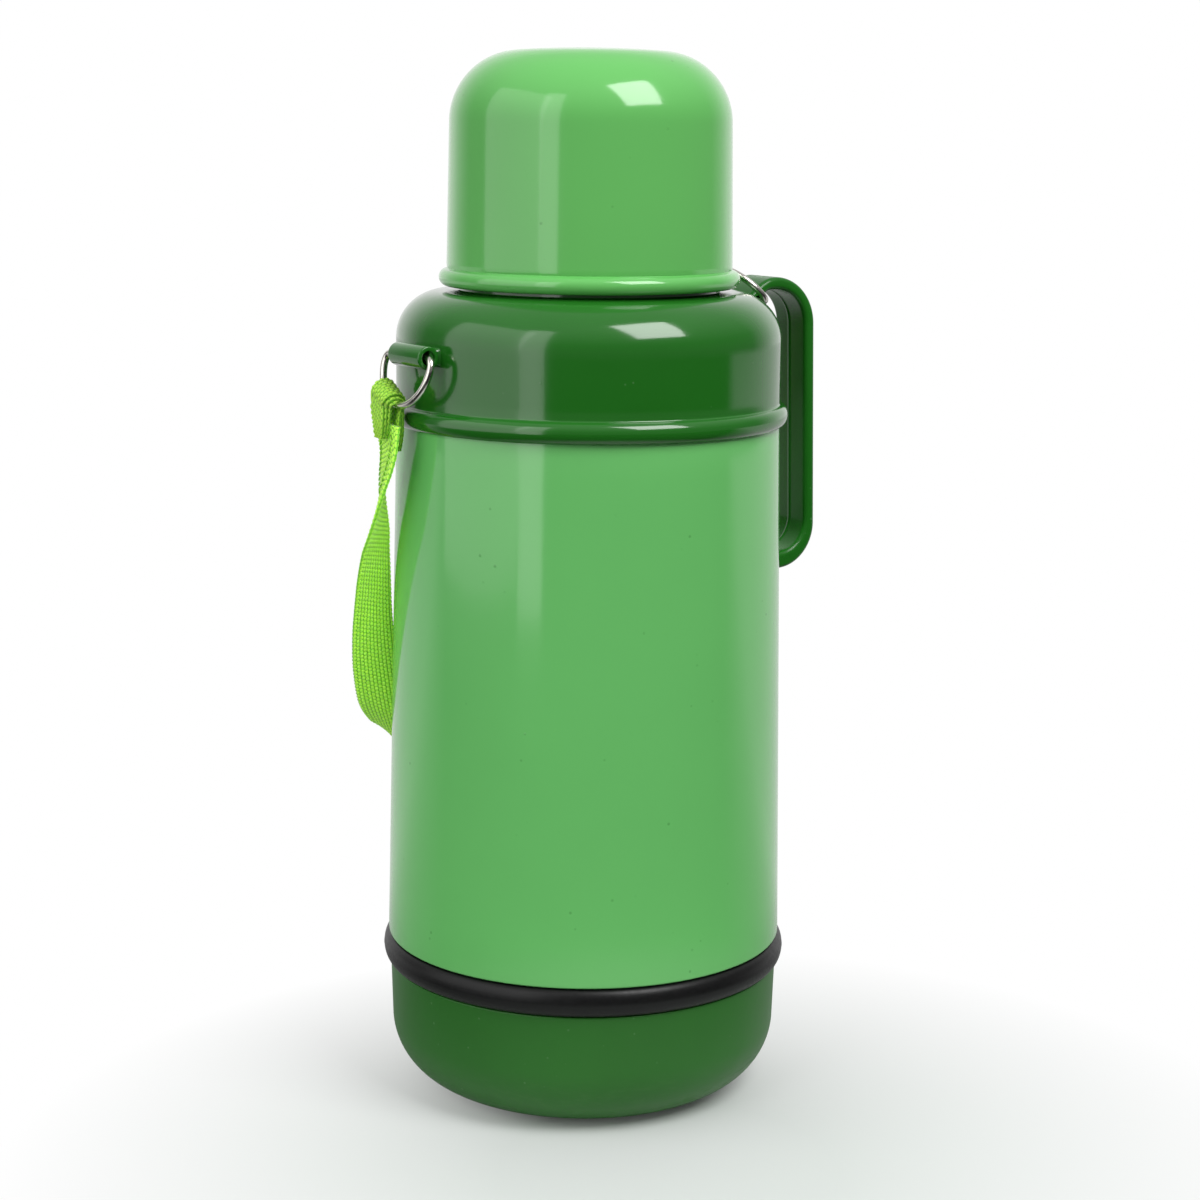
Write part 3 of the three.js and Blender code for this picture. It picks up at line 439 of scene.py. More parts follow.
def ribbon(name, line, side, width, thickness, start=0.0, narrowing=None):
    s = strapSize
    line, side = np.array(line, float), np.array(side, float)
    _, face, side = lineFrame(line, side)
    run = start + runOf(line)
    columns = int(round(s["columns"] * width / s["width"]))
    across = columns * s["perColumn"] + 1
    u = np.linspace(0, columns, across)
    column = np.minimum(u.astype(int), columns - 1)
    rise = np.abs(np.sin(math.pi * u)) ** s["yarnRound"]
    phase = run[:, None] / s["pick"] + 0.5 * (column % 2)[None, :]
    over = np.abs(np.cos(math.pi * phase)) ** s["pickRound"]
    height = rise[None, :] * (s["under"] + (1 - s["under"]) * over)
    edge = np.minimum(u, columns - u) * width / columns
    inward = 1 - np.clip(edge / (thickness * s["edgeRound"]), 0, 1)
    body = np.sqrt(np.clip(1 - inward ** 2, 0, 1))
    wave = s["scallop"] * np.abs(np.sin(math.pi * run / s["pick"]))
    half = (width / 2 - s["scallop"] + wave)[:, None] * (2 * u / columns - 1)[None, :]
    if narrowing is not None:
        half = half * narrowing[:, None]
    thick = (thickness / 2 - s["relief"]) * body[None, :]
    points, values, uvs = [], [], []
    for sign in (1, -1):
        lift = sign * (thick + s["relief"] * height * body[None, :])
        points.append(line[:, None, :] + side[:, None, :] * half[..., None]
                      + face[:, None, :] * lift[..., None])
        values.append(height * body[None, :])
        uvs.append(np.stack([
            np.broadcast_to(u * width / columns, height.shape) + 20 * (sign < 0),
            np.broadcast_to(run[:, None], height.shape)], axis=-1))
    rows = len(line)
    top, under = np.arange(2 * rows * across).reshape(2, rows, across).tolist()
    faces = []
    for i in range(rows - 1):
        for k in range(across - 1):
            faces.append((top[i][k], top[i][k + 1], top[i + 1][k + 1], top[i + 1][k]))
            faces.append((under[i][k], under[i + 1][k], under[i + 1][k + 1], under[i][k + 1]))
    for k in range(across - 1):
        faces.append((top[0][k], under[0][k], under[0][k + 1], top[0][k + 1]))
        faces.append((top[-1][k], top[-1][k + 1], under[-1][k + 1], under[-1][k]))
    mesh = bpy.data.meshes.new(name)
    mesh.from_pydata((np.concatenate(points).reshape(-1, 3) * mm).tolist(), [], faces)
    attribute = mesh.attributes.new("yarnHeight", "FLOAT", "POINT")
    attribute.data.foreach_set("value", np.concatenate(values).ravel().astype(np.float32))
    layer = mesh.uv_layers.new(name="strapUv")
    corner = np.zeros(len(mesh.loops), np.int32)
    mesh.loops.foreach_get("vertex_index", corner)
    allUv = np.concatenate(uvs).reshape(-1, 2) * mm
    layer.data.foreach_set("uv", allUv[corner].ravel().astype(np.float32))
    mesh.materials.append(webbing)
    mesh.shade_smooth()
    made = bpy.data.objects.new(name, mesh)
    scene.collection.objects.link(made)
    return outward(made)


leftLine, leftSide, leftLength = strapFrames(leftRoute)
rightLine, rightSide, rightLength = strapFrames(rightRoute)
strapLeft, strapRight = (
    ribbon(name, line, side, strapSize["width"], strapSize["thickness"])
    for name, line, side in (("strapLeft", leftLine, leftSide), ("strapRight", rightLine, rightSide)))
print("strap woven:", round(leftLength), "and", round(rightLength), "mm")

# Rings: where each hangs, which way it points in degrees from +X towards +Z, and where
# round its arch the strap is folded, in how many layers
ringSize = {"wire": 2.2, "halfWidth": 13.6, "depth": 15.0, "corner": 3.0, "gap": 0.5,
            "sides": 20, "steps": 160}
rings = {"ringLeft": {"pivot": (-62.8, 1.4, 234.5), "angle": 256, "node": "ring_left",
                      "foldAt": 62, "layers": 3},
         "ringRight": {"pivot": (59.0, 0, 247.4), "angle": 135, "node": "ring_right",
                       "foldAt": 22, "layers": 2}}


def ringPoint(ring, across, depth):
    a = math.radians(ring["angle"])
    x, y, z = ring["pivot"]
    return Vector((x + depth * math.cos(a), y + across, z + depth * math.sin(a)))


def archPoint(turn):
    deep = ringSize["depth"] - ringSize["corner"]
    return ringSize["halfWidth"] * math.cos(turn), ringSize["corner"] + deep * math.sin(turn)


def ringLine(ring):
    flat = ringSize["halfWidth"] - ringSize["corner"]
    half = math.sqrt(0.5)
    bend = (flat + ringSize["corner"] * half, ringSize["corner"] * (1 - half))
    start = [(ringSize["gap"] / 2, 0), (flat / 2, 0), (flat, 0), bend]
    arch = [archPoint(a) for a in np.linspace(0, math.pi, 13)]
    end = [(-x, y) for x, y in reversed(start)]
    return [ringPoint(ring, x, y) for x, y in start + arch + end]


def tube(name, line, side, radius, sides, material):
    line = np.array(line, float)
    _, first, second = lineFrame(line, np.broadcast_to(np.array(side, float), line.shape))
    points = []
    for p, a, b in zip(line, first, second):
        for k in range(sides):
            w = 2 * math.pi * k / sides
            points.append((p + radius * (a * math.cos(w) - b * math.sin(w))) * mm)
    return outward(makeObject(name, points, skinFaces(len(line), sides), material, 50))


for name, ring in rings.items():
    a = math.radians(ring["angle"])
    line = smoothLine(ringLine(ring), ringSize["steps"])[0]
    piece = tube(name, line, (math.sin(a), 0, -math.cos(a)), ringSize["wire"] / 2,
                 ringSize["sides"], nickel)
    settle(piece, ring["node"], "nickel_wire", ring["node"])

# Folds: each strap's end goes over the wire and comes back beside itself, in stacked layers
foldSize = {"width": 11.4, "narrower": 0.6, "thickness": 1.15, "lap": 8.5, "step": 0.85,
            "shift": 0.8, "gather": 0.58, "gatherPower": 2.2, "turn": 13, "wrap": (-20, 200),
            "offWire": 0.1, "offStrap": 0.15, "picks": 30, "weaveStart": 40.0}


def wireFrame(ring):
    turn = math.radians(ring["foldAt"])
    here, there = (np.array(ringPoint(ring, *archPoint(w))) for w in (turn, turn + 0.01))
    return here, unit(there - here)


def foldLayer(name, strapPoints, strapSide, wireAt, wireAlong, layer):
    f = foldSize
    end = strapPoints[0]
    if np.dot(strapSide, wireAlong) < 0:
        wireAlong = -wireAlong
    down = end - wireAt
    down = unit(down - wireAlong * np.dot(down, wireAlong))
    out = np.cross(down, wireAlong)
    strapFace = unit(np.cross(strapPoints[0] - strapPoints[-1], strapSide))
    if np.dot(strapFace, out) < 0:
        strapFace = -strapFace
    radius = (ringSize["wire"] + f["thickness"]) / 2 + f["offWire"] + layer * f["step"]
    beside = (strapSize["thickness"] + f["thickness"]) / 2 + f["offStrap"] + layer * f["step"]
    legs = [strapPoints[-1], strapPoints[len(strapPoints) // 2], end]
    middle = wireAt + wireAlong * f["shift"] * (layer - 1)
    loop = [middle + radius * (out * math.cos(w) - down * math.sin(w))
            for w in np.radians(np.linspace(*f["wrap"], f["turn"]))]
    points = [p + strapFace * beside for p in legs] + loop
    points += [p - strapFace * beside for p in reversed(legs[1:])]
    sides = np.array([strapSide] * 3 + [wireAlong] * len(loop) + [strapSide] * 2)
    line = smoothLine(points, f["picks"] * strapSize["perPick"])[0]
    place = np.linspace(0, 1, len(line))
    reached = runOf(np.array(points))
    reached /= reached[-1]
    side = unit(np.column_stack([np.interp(place, reached, sides[:, k]) for k in range(3)]))
    narrowing = 1 - f["gather"] * np.abs(2 * place - 1) ** f["gatherPower"]
    return ribbon(name, line, side, f["width"] - f["narrower"] * layer, f["thickness"],
                  f["weaveStart"] * layer, narrowing)


def foldsFor(name, ring, line, side):
    reach = line[: int(np.searchsorted(runOf(line), foldSize["lap"])) + 1]
    return [foldLayer(f"{name}{layer + 1}", reach, side[0], *wireFrame(ring), layer)
            for layer in range(ring["layers"])]


leftFolds = foldsFor("strapFoldLeft", rings["ringLeft"], leftLine, leftSide)
rightFolds = foldsFor("strapFoldRight", rings["ringRight"], rightLine[::-1], rightSide[::-1])


def followRing(piece):
    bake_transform(piece)


for strap, line, length, first, folds, node, ring in (
        (strapLeft, leftLine, leftLength, 0, leftFolds, "strap_left", "ring_left"),
        (strapRight, rightLine, rightLength, -1, rightFolds, "strap_right", "ring_right")):
    for fold in folds:
        settle(fold, ring, "lime_webbing")
    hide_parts(node)
    followRing(strap)
print("strap folded on its rings")


socketKinds = {"Count": "NodeSocketInt", "Material": "NodeSocketMaterial"}


def newTree(name, *labels):
    tree = bpy.data.node_groups.new(name, "GeometryNodeTree")
    tree.interface.new_socket("Geometry", in_out="INPUT", socket_type="NodeSocketGeometry")
    for label in (*labels, "Material"):
        tree.interface.new_socket(label, in_out="INPUT",
                                  socket_type=socketKinds.get(label, "NodeSocketFloat"))
    tree.interface.new_socket("Geometry", in_out="OUTPUT", socket_type="NodeSocketGeometry")
    return tree, tree.nodes.new("NodeGroupInput").outputs, tree.nodes.new("NodeGroupOutput")


def finishTree(tree, given, out, geometry):
    smooth = addNode(tree, "GeometryNodeSetShadeSmooth", Geometry=geometry)
    realized = addNode(tree, "GeometryNodeRealizeInstances", Geometry=smooth.outputs[0])
    painted = addNode(tree, "GeometryNodeSetMaterial", Geometry=realized.outputs[0],
                      Material=given["Material"])
    tree.links.new(painted.outputs[0], out.inputs[0])


def lifted(tree, geometry, height):
    lift = addNode(tree, "ShaderNodeCombineXYZ", Z=height)
    return addNode(tree, "GeometryNodeTransform", Geometry=geometry,
                   Translation=lift.outputs[0]).outputs[0]


def longBall(tree, radius, length, rings):
    ball = addNode(tree, "GeometryNodeMeshUVSphere", Segments=8, Rings=rings, Radius=radius)
    half = times(tree, mathNode(tree, "DIVIDE", length, radius), 0.5)
    stretch = addNode(tree, "ShaderNodeCombineXYZ", X=1.0, Y=1.0, Z=half)
    return addNode(tree, "GeometryNodeTransform", Geometry=ball.outputs[0],
                   Scale=stretch.outputs[0]).outputs[0]

def grown(name, tree, values, source=None):
    mesh = source or bpy.data.meshes.new(name)
    made = bpy.data.objects.new(name, mesh)
    scene.collection.objects.link(made)
    modifier = made.modifiers.new("nodes", "NODES")
    modifier.node_group = tree
    for item in tree.interface.items_tree:
        if item.in_out == "INPUT" and item.name in values:
            modifier[item.identifier] = values[item.name]
    return applied(made)


# A thread: a round ridge on a helix whose ends sink into the wall
threadTree, given, out = newTree("threadRidge", "Radius", "Start Height", "Pitch", "Turns", "Ridge")
spiral = addNode(threadTree, "GeometryNodeCurveSpiral", Resolution=72, Rotations=given["Turns"],
                 Start_Radius=given["Radius"], End_Radius=given["Radius"], Reverse=True,
                 Height=times(threadTree, given["Pitch"], given["Turns"]))
along = addNode(threadTree, "GeometryNodeSplineParameter")
ends = mathNode(threadTree, "PINGPONG", along.outputs["Factor"], 0.5)
taper = mathNode(threadTree, "MINIMUM", times(threadTree, ends, 12.0), 1.0)
sized = addNode(threadTree, "GeometryNodeSetCurveRadius", Curve=spiral.outputs[0], Radius=taper)
section = addNode(threadTree, "GeometryNodeCurvePrimitiveCircle", Resolution=10,
                  Radius=given["Ridge"])
swept = addNode(threadTree, "GeometryNodeCurveToMesh", Curve=sized.outputs[0],
                Profile_Curve=section.outputs[0], Fill_Caps=True)
if "Scale" in swept.inputs:
    threadTree.links.new(taper, swept.inputs["Scale"])
finishTree(threadTree, given, out, lifted(threadTree, swept.outputs[0], given["Start Height"]))

# Height of each thread's start, its turns and its ridge
threadSize = {"pitch": 4, "shell": (29.4, 1.25, 0.7), "base": (28.2, 1.0, 0.7),
              "collar": (257.9, 1.5, 0.7), "spout": (255.9, 1.25, 0.7),
              "cup": (257.3, 1.0, 0.6), "plug": (251.3, 1.5, 0.7)}


def thread(place, radius, material, body, slotName):
    start, turns, ridge = threadSize[place]
    piece = grown(f"{place}Thread", threadTree, {
        "Radius": radius * mm, "Start Height": start * mm, "Pitch": threadSize["pitch"] * mm,
        "Turns": turns, "Ridge": ridge * mm, "Material": material})
    return settle(piece, body, slotName)


# Ribs: rounded bars stood round a circle
ribTree, given, out = newTree("ribsRound", "Count", "Circle Radius", "Rib Radius", "Rib Height",
                              "Middle Height")
circle = addNode(ribTree, "GeometryNodeMeshCircle", Vertices=given["Count"],
                 Radius=given["Circle Radius"])
rib = longBall(ribTree, given["Rib Radius"], given["Rib Height"], 8)
placed = addNode(ribTree, "GeometryNodeInstanceOnPoints", Points=circle.outputs[0], Instance=rib)
finishTree(ribTree, given, out, lifted(ribTree, placed.outputs[0], given["Middle Height"]))

# Stitches: a short thread laid at each point, turned along the point's own direction
stitchTree, given, out = newTree("stitchesOnPoints", "Stitch Radius", "Stitch Length")
way = addNode(stitchTree, "GeometryNodeInputNamedAttribute", {"data_type": "FLOAT_VECTOR"},
              Name="along")
facing = addNode(stitchTree, "FunctionNodeAlignRotationToVector", {"axis": "Z"},
                 Vector=way.outputs[0])
stitch = longBall(stitchTree, given["Stitch Radius"], given["Stitch Length"], 6)
placed = addNode(stitchTree, "GeometryNodeInstanceOnPoints", Points=given["Geometry"],
                 Instance=stitch, Rotation=facing.outputs[0])
finishTree(stitchTree, given, out, placed.outputs[0])

# Stitches on both faces of a strap, in two rows near the ring; first and last from its end
stitchSize = {"radius": 0.28, "length": 1.7, "spacing": 1.9, "rows": (-4.6, 4.6),
              "lift": 0.72, "first": 5.0, "last": 24.0}


def stitchRow(name, line, side, first, last):
    s = stitchSize
    along, face, _ = lineFrame(line, side)
    run = runOf(line)
    points, ways = [], []
    for offset in s["rows"]:
        for place in np.arange(first, last, s["spacing"]):
            at, across, out, ahead = (np.array([np.interp(place, run, v[:, k]) for k in range(3)])
                                      for v in (line, side, face, along))
            for sign in (1, -1):
                points.append(tuple((at + across * offset + out * sign * s["lift"]) * mm))
                ways.append(ahead)
    mesh = bpy.data.meshes.new(name)
    mesh.from_pydata(points, [], [])
    attribute = mesh.attributes.new("along", "FLOAT_VECTOR", "POINT")
    attribute.data.foreach_set("vector", np.array(ways).ravel())
    piece = grown(name, stitchTree, {"Stitch Radius": s["radius"] * mm, "Material": stitchThread,
                                     "Stitch Length": s["length"] * mm}, mesh)
    return piece


shellSize = {"low": 48.4, "radius": 62.6, "top": 214.2, "topRadius": 59.4, "wall": 2.2,
             "spigotLow": 26.4, "spigot": 59.3, "threadFloor": 58.6, "ringLow": 39.2,
             "spigotThin": 0.7, "slope": 3.3, "rowHeight": 12}


def makeShell():
    s = shellSize
    inner = s["threadFloor"] - s["wall"] + s["spigotThin"]
    profile = rounded([
        (inner, s["spigotLow"], 0.5), (s["threadFloor"], s["spigotLow"], 0.6),
        (s["threadFloor"], s["ringLow"]), (s["spigot"], s["ringLow"], 0.3),
        (s["spigot"], s["low"]), (s["radius"], s["low"], 0.8),
        (s["topRadius"], s["top"], 0.4), (s["topRadius"] - s["wall"], s["top"], 0.4),
        (s["radius"] - s["wall"], s["low"] + s["slope"]), (inner, s["low"])])
    dense = []
    for a, b in zip(profile, profile[1:] + profile[:1]):
        steps = max(1, int(math.dist(a, b) / s["rowHeight"]))
        dense += [(a[0] + (b[0] - a[0]) * k / steps, a[1] + (b[1] - a[1]) * k / steps)
                  for k in range(steps)]
    return turned("bodyShell", dense, shellGreenTintAndPaintedLight, 144)


settle(makeShell(), "flask", "light_green_plastic", "body_shell")
thread("shell", shellSize["threadFloor"], shellGreenTintAndPaintedLight, "flask", "light_green_plastic")

ringBand = {"inner": 59.7, "seat": 61.6, "low": 39.5, "high": 48.1, "bulge": 2.5,
            "partingLine": 0.06}


def makeBand():
    b = ringBand
    middle, half = (b["low"] + b["high"]) / 2, (b["high"] - b["low"]) / 2
    curve = arcPoints(b["seat"], middle, b["bulge"], half, -90, 90, 24)
    curve[12] = (curve[12][0] + b["partingLine"], curve[12][1])
    profile = [(b["inner"], b["low"]), *curve, (b["inner"], b["high"])]
    return turned("rubberBand", profile, rubber, 144)


settle(makeBand(), "base", "black_rubber", "base_ring")

baseSize = {"radius": 62, "taper": 0.6, "corner": 21, "height": 39.2, "inner": 60.4,
            "innerCorner": 19.1, "floor": 2.4, "recessInner": 14, "recessOuter": 34,
            "recess": 0.8, "middleLift": 0.5, "rim": 1.6, "slope": 0.6}


def makeBase():
    b = baseSize
    foot = b["radius"] - b["taper"] - b["corner"]
    innerFoot = b["inner"] - b["taper"] - b["innerCorner"]
    innerZ = b["floor"] + b["innerCorner"]
    profile = [(0, b["middleLift"]), (b["recessInner"] - 1, b["middleLift"]), (b["recessInner"], 0),
               (b["recessInner"] + b["rim"], 0),
               (b["recessInner"] + b["rim"] + b["slope"], b["recess"]),
               (b["recessOuter"] - 2 * b["slope"], b["recess"]),
               (b["recessOuter"] - b["slope"], 0), (b["recessOuter"], 0)]
    profile += arcPoints(foot, b["corner"], b["corner"], b["corner"], -90, 0, 26)
    profile += rounded([(b["radius"], b["height"], 0.5), (b["inner"], b["height"], 0.4),
                        (b["inner"] - b["taper"], innerZ)])[:-1]
    profile += arcPoints(innerFoot, innerZ, b["innerCorner"], b["innerCorner"], 0, -90, 14)
    profile += [(0, b["floor"])]
    return turned("baseCup", profile, baseGreen, 144, 40, closed=False)


settle(makeBase(), "base", "dark_green_plastic", "base_cup")
thread("base", baseSize["inner"], baseGreen, "base", "dark_green_plastic")

# inside: the hollow under the shoulder, down to the rebate that takes the shell's edge
shoulderSize = {"bead": 61.9, "beadLow": 211.6, "beadHigh": 217.9, "beadRadius": 2.1,
                "seat": 59.7, "radius": 59.4, "corner": 14.4, "top": 251.9, "collar": 40.1,
                "collarWall": 2.6, "collarTop": 268.9, "ceiling": 3.0, "channel": 251.3,
                "spout": 30, "spoutOuter": 32.4, "spoutTop": 272.9, "ledge": 243.3,
                "ledgeThick": 2, "ledgeRadius": 26.2, "lip": 29.1, "skirt": 235.3,
                "inside": ((57, 237, 6), (57, 218), (54.5, 214.2), (54.5, 199.6),
                           (56.9, 199.6), (56.9, 214.5), (59.7, 214.5))}


def makeShoulder():
    s = shoulderSize
    cornerR, cornerZ = s["radius"] - s["corner"], s["top"] - s["corner"]
    middle, half = (s["beadLow"] + s["beadHigh"]) / 2, (s["beadHigh"] - s["beadLow"]) / 2
    ceiling, ledge = s["top"] - s["ceiling"], s["ledge"] + s["ledgeThick"]
    collarInner = s["collar"] - s["collarWall"]
    bead = arcPoints(s["bead"] - s["beadRadius"], middle, s["beadRadius"], half, -86, 74, 14)
    outside = [(s["seat"], s["beadLow"] + 0.15), *bead]
    outside += rounded([bead[-1], (s["radius"], s["beadHigh"] + 0.25, 1.2),
                        (s["radius"], s["beadHigh"] + 5)])[1:-1]
    outside += [(s["radius"], z) for z in np.linspace(s["beadHigh"] + 4, cornerZ - 2, 4)]
    outside += arcPoints(cornerR, cornerZ, s["corner"], s["corner"], 0, 90, 24)
    rest = rounded([
        outside[-1], (s["collar"], s["top"], 0.5), (s["collar"], s["collarTop"], 0.7),
        (collarInner, s["collarTop"], 0.7), (collarInner, s["channel"], 0.8),
        (s["spoutOuter"], s["channel"], 0.8), (s["spoutOuter"], s["spoutTop"], 0.9),
        (s["spout"], s["spoutTop"], 0.9), (s["spout"], ledge, 0.3), (s["ledgeRadius"], ledge, 0.4),
        (s["ledgeRadius"], s["ledge"], 0.3), (s["lip"], s["ledge"]), (s["lip"], s["skirt"], 0.3),
        (s["spoutOuter"], s["skirt"], 0.3), (s["spoutOuter"], ceiling), (cornerR, ceiling, 8),
        *s["inside"]])[1:]
    return turned("shoulderMoulding", outside + rest, darkGreen, 144)


settle(makeShoulder(), "flask", "dark_green_plastic", "shoulder")
for place, radius in (("collar", shoulderSize["collar"]), ("spout", shoulderSize["spout"])):
    thread(place, radius, darkGreen, "flask", "dark_green_plastic")

# Lug for the left ring: a tube on a web that flares into the wall
lugSize = {"x": -62.8, "z": 234.5, "radius": 3.5, "bore": 2.1, "half": 10, "farEnd": 8.4,
           "web": 3.0, "flare": 0.9, "webStart": 0.8, "webDepth": 5.0, "shorter": 0.7,
           "square": (0.22, 0.35)}


def makeLug():
    g = lugSize
    profile = rounded([(g["bore"], -g["half"], 0.35), (g["radius"], -g["half"], 0.6),
                       (g["radius"], g["half"], 0.6), (g["bore"], g["half"], 0.35)])
    profile = [(r, z + (g["half"] - g["farEnd"] if z < 0 else 0)) for r, z in profile]
    lug = turned("lug", profile, darkGreen, 48)
    spot = Matrix.Translation(Vector((g["x"], 0, g["z"])) * mm)
    lug.data.transform(spot @ Matrix.Rotation(math.pi / 2, 4, "X"))
    points, corners, stations = [], 24, np.linspace(0, 1, 8)
    for t in stations:
        x = g["x"] + g["webStart"] + t * g["webDepth"]
        grow = g["flare"] * t ** 2.2
        halfY, halfZ = g["half"] - g["shorter"] + grow * 1.3, g["web"] - 0.3 + grow
        for k in range(corners):
            a = 2 * math.pi * (k + 0.5) / corners
            y, z = (math.copysign(abs(v) ** power, v)
                    for v, power in zip((math.cos(a), math.sin(a)), g["square"]))
            points.append((x * mm, y * halfY * mm, (g["z"] + z * halfZ) * mm))
    faces = skinFaces(len(stations), corners)
    return lug, outward(makeObject("lugWeb", points, faces, darkGreen, 45))


for piece in makeLug():
    settle(piece, "flask", "dark_green_plastic")

cupSize = {"low": 253.3, "top": 324.8, "radius": 43.9, "taper": 0.8, "corner": 21.5,
           "crown": 0.8, "wall": 2.0, "bead": 2.4, "beadHeight": 5.2, "grooveLow": 0.25,
           "grooveHigh": 0.7, "wallStart": 2}


def makeCup():
    c = cupSize
    topRadius = c["radius"] - c["taper"]
    cornerZ = c["top"] - c["crown"] - c["corner"]
    beadTop, half = c["low"] + c["beadHeight"], c["beadHeight"] / 2
    wallLow = beadTop + c["wallStart"]
    bead = arcPoints(c["radius"], c["low"] + half, c["bead"], half, -86, 82, 18)
    groove = [(c["radius"] - 0.12, beadTop + c["grooveLow"]),
              (c["radius"] - 0.02, beadTop + c["grooveHigh"])]
    wall = [(c["radius"] - c["taper"] * t, wallLow + t * (cornerZ - wallLow))
            for t in np.linspace(0, 0.97, 7)]
    cornerR = topRadius - c["corner"]
    corner = arcPoints(cornerR, cornerZ, c["corner"], c["corner"], 0, 84, 28)
    edge, edgeZ = corner[-1]
    crown = [(edge * t, c["top"] - (c["top"] - edgeZ) * t ** 2) for t in np.linspace(0.85, 0, 7)]
    inner, insideCorner = c["radius"] - c["wall"], c["corner"] - c["wall"]
    inside = [(0, c["top"] - c["wall"])]
    inside += reversed(arcPoints(cornerR, cornerZ, insideCorner, insideCorner, 0, 84, 20))
    inside += [(inner, beadTop), (inner, c["low"] + 0.5), (inner + 0.4, c["low"] + 0.05)]
    profile = bead + groove + wall + corner + crown + inside
    made = turned("drinkingCup", profile, lightGreen, 144, 40, closed=False)
    work = bmesh.new()
    work.from_mesh(made.data)
    bmesh.ops.bridge_loops(work, edges=[e for e in work.edges if e.is_boundary])  # closes the rim
    bmesh.ops.recalc_face_normals(work, faces=work.faces)
    for face in work.faces:
        face.smooth = True
    work.to_mesh(made.data)
    work.free()
    return made


settle(makeCup(), "cup", "light_green_plastic", "cup")
thread("cup", cupSize["radius"] - cupSize["wall"], lightGreen, "cup", "light_green_plastic")

# Stopper: plug and ribbed knob, with a lid let into its top
stopperSize = {"nose": 25.7, "noseZ": 239.9, "plug": 28.2, "seatZ": 247.8, "knobZ": 273.5,
               "knob": 34.5, "knobTop": 288.9, "ribDepth": 0.4, "wall": 2.3, "floor": 2.4,
               "foamRadius": 23.3, "lid": 31.9, "lidThick": 3.2, "lidCrown": 1.0}
ribSize = {"Count": 60, "Circle Radius": 34.05 * mm, "Rib Radius": 0.75 * mm,
           "Rib Height": 12.5 * mm, "Middle Height": 281.0 * mm}


def makeStopper():
    s = stopperSize
    rim, grip = s["knob"] - s["wall"], s["knob"] - s["ribDepth"]
    hollow = s["knobZ"] + s["wall"]
    profile = [(0, s["noseZ"])] + rounded([
        (0, s["noseZ"]), (s["nose"], s["noseZ"], 1.2), (s["nose"], s["seatZ"], 0.3),
        (s["plug"], s["seatZ"], 0.4), (s["plug"], s["knobZ"], 0.8), (grip, s["knobZ"], 1.2),
        (grip, s["knobTop"], 1.6), (rim, s["knobTop"], 0.4), (rim, hollow),
        (s["foamRadius"], hollow), (s["foamRadius"], s["noseZ"] + s["floor"]),
        (0, s["noseZ"] + s["floor"])])[1:]
    return turned("stopperBody", profile, creamPlastic, 96, 40, closed=False)


def makeLid():
    s = stopperSize
    top = s["knobTop"]
    low = top - s["lidThick"]
    crown = [(s["lid"] * t, top + s["lidCrown"] * (1 - t ** 2)) for t in np.linspace(0.96, 0.0, 9)]
    profile = [(0, low), (s["lid"], low), (s["lid"], top - 0.5), (s["lid"] * 0.985, top), *crown]
    return turned("stopperLid", profile, creamPlastic, 96, 40, closed=False)


settle(makeStopper(), "stopper", "cream_plastic", "stopper_body")
settle(makeLid(), "stopper", "cream_plastic", "stopper_lid")
thread("plug", stopperSize["plug"], creamPlastic, "stopper", "cream_plastic")
settle(grown("knobRibs", ribTree, {**ribSize, "Material": creamPlastic}), "stopper", "cream_plastic")
print("turned pieces made")

# foot, footInside and root: corners where the handle meets the shell and the shoulder,
# the first two with their heights above its low edge
handleSize = {"width": 16.4, "bar": 82.8, "thick": 3.9, "flare": 2.0, "topRadius": 15.8,
              "lowRadius": 14.1, "top": 254.7, "low": 159.7, "arm": 5.6, "edge": 1.5,
              "wallTop": 59.4, "groove": 0.38, "grooves": (2.1, 5.0), "grooveWidth": 0.42,
              "ridge": 0.3, "ridgeAt": 0.6, "ridgeWidth": 0.4, "fadeFrom": 64.5, "fade": 4,
              "hole": 1.75,
              "foot": ((66.2, 0), (65.2, -0.4), (64.6, -2.0), (63.4, -3.0), (60.5, -3.0)),
              "footInside": ((60.5, 20), (63.4, 20), (64.6, 19), (65.0, 17), (65.0, 8.6)),
              "root": ((63.9, 242.9), (63.9, 221.2), (63.5, 219.6), (62.9, 218.9),
                       (57.6, 218.9), (57.0, 240), (55.2, 244.6))}


def bent(a, b, c, count):
    a, b, c = np.array((a, b, c), float)
    return [tuple((1 - t) ** 2 * a + 2 * t * (1 - t) * b + t * t * c)
            for t in np.linspace(0, 1, count)]


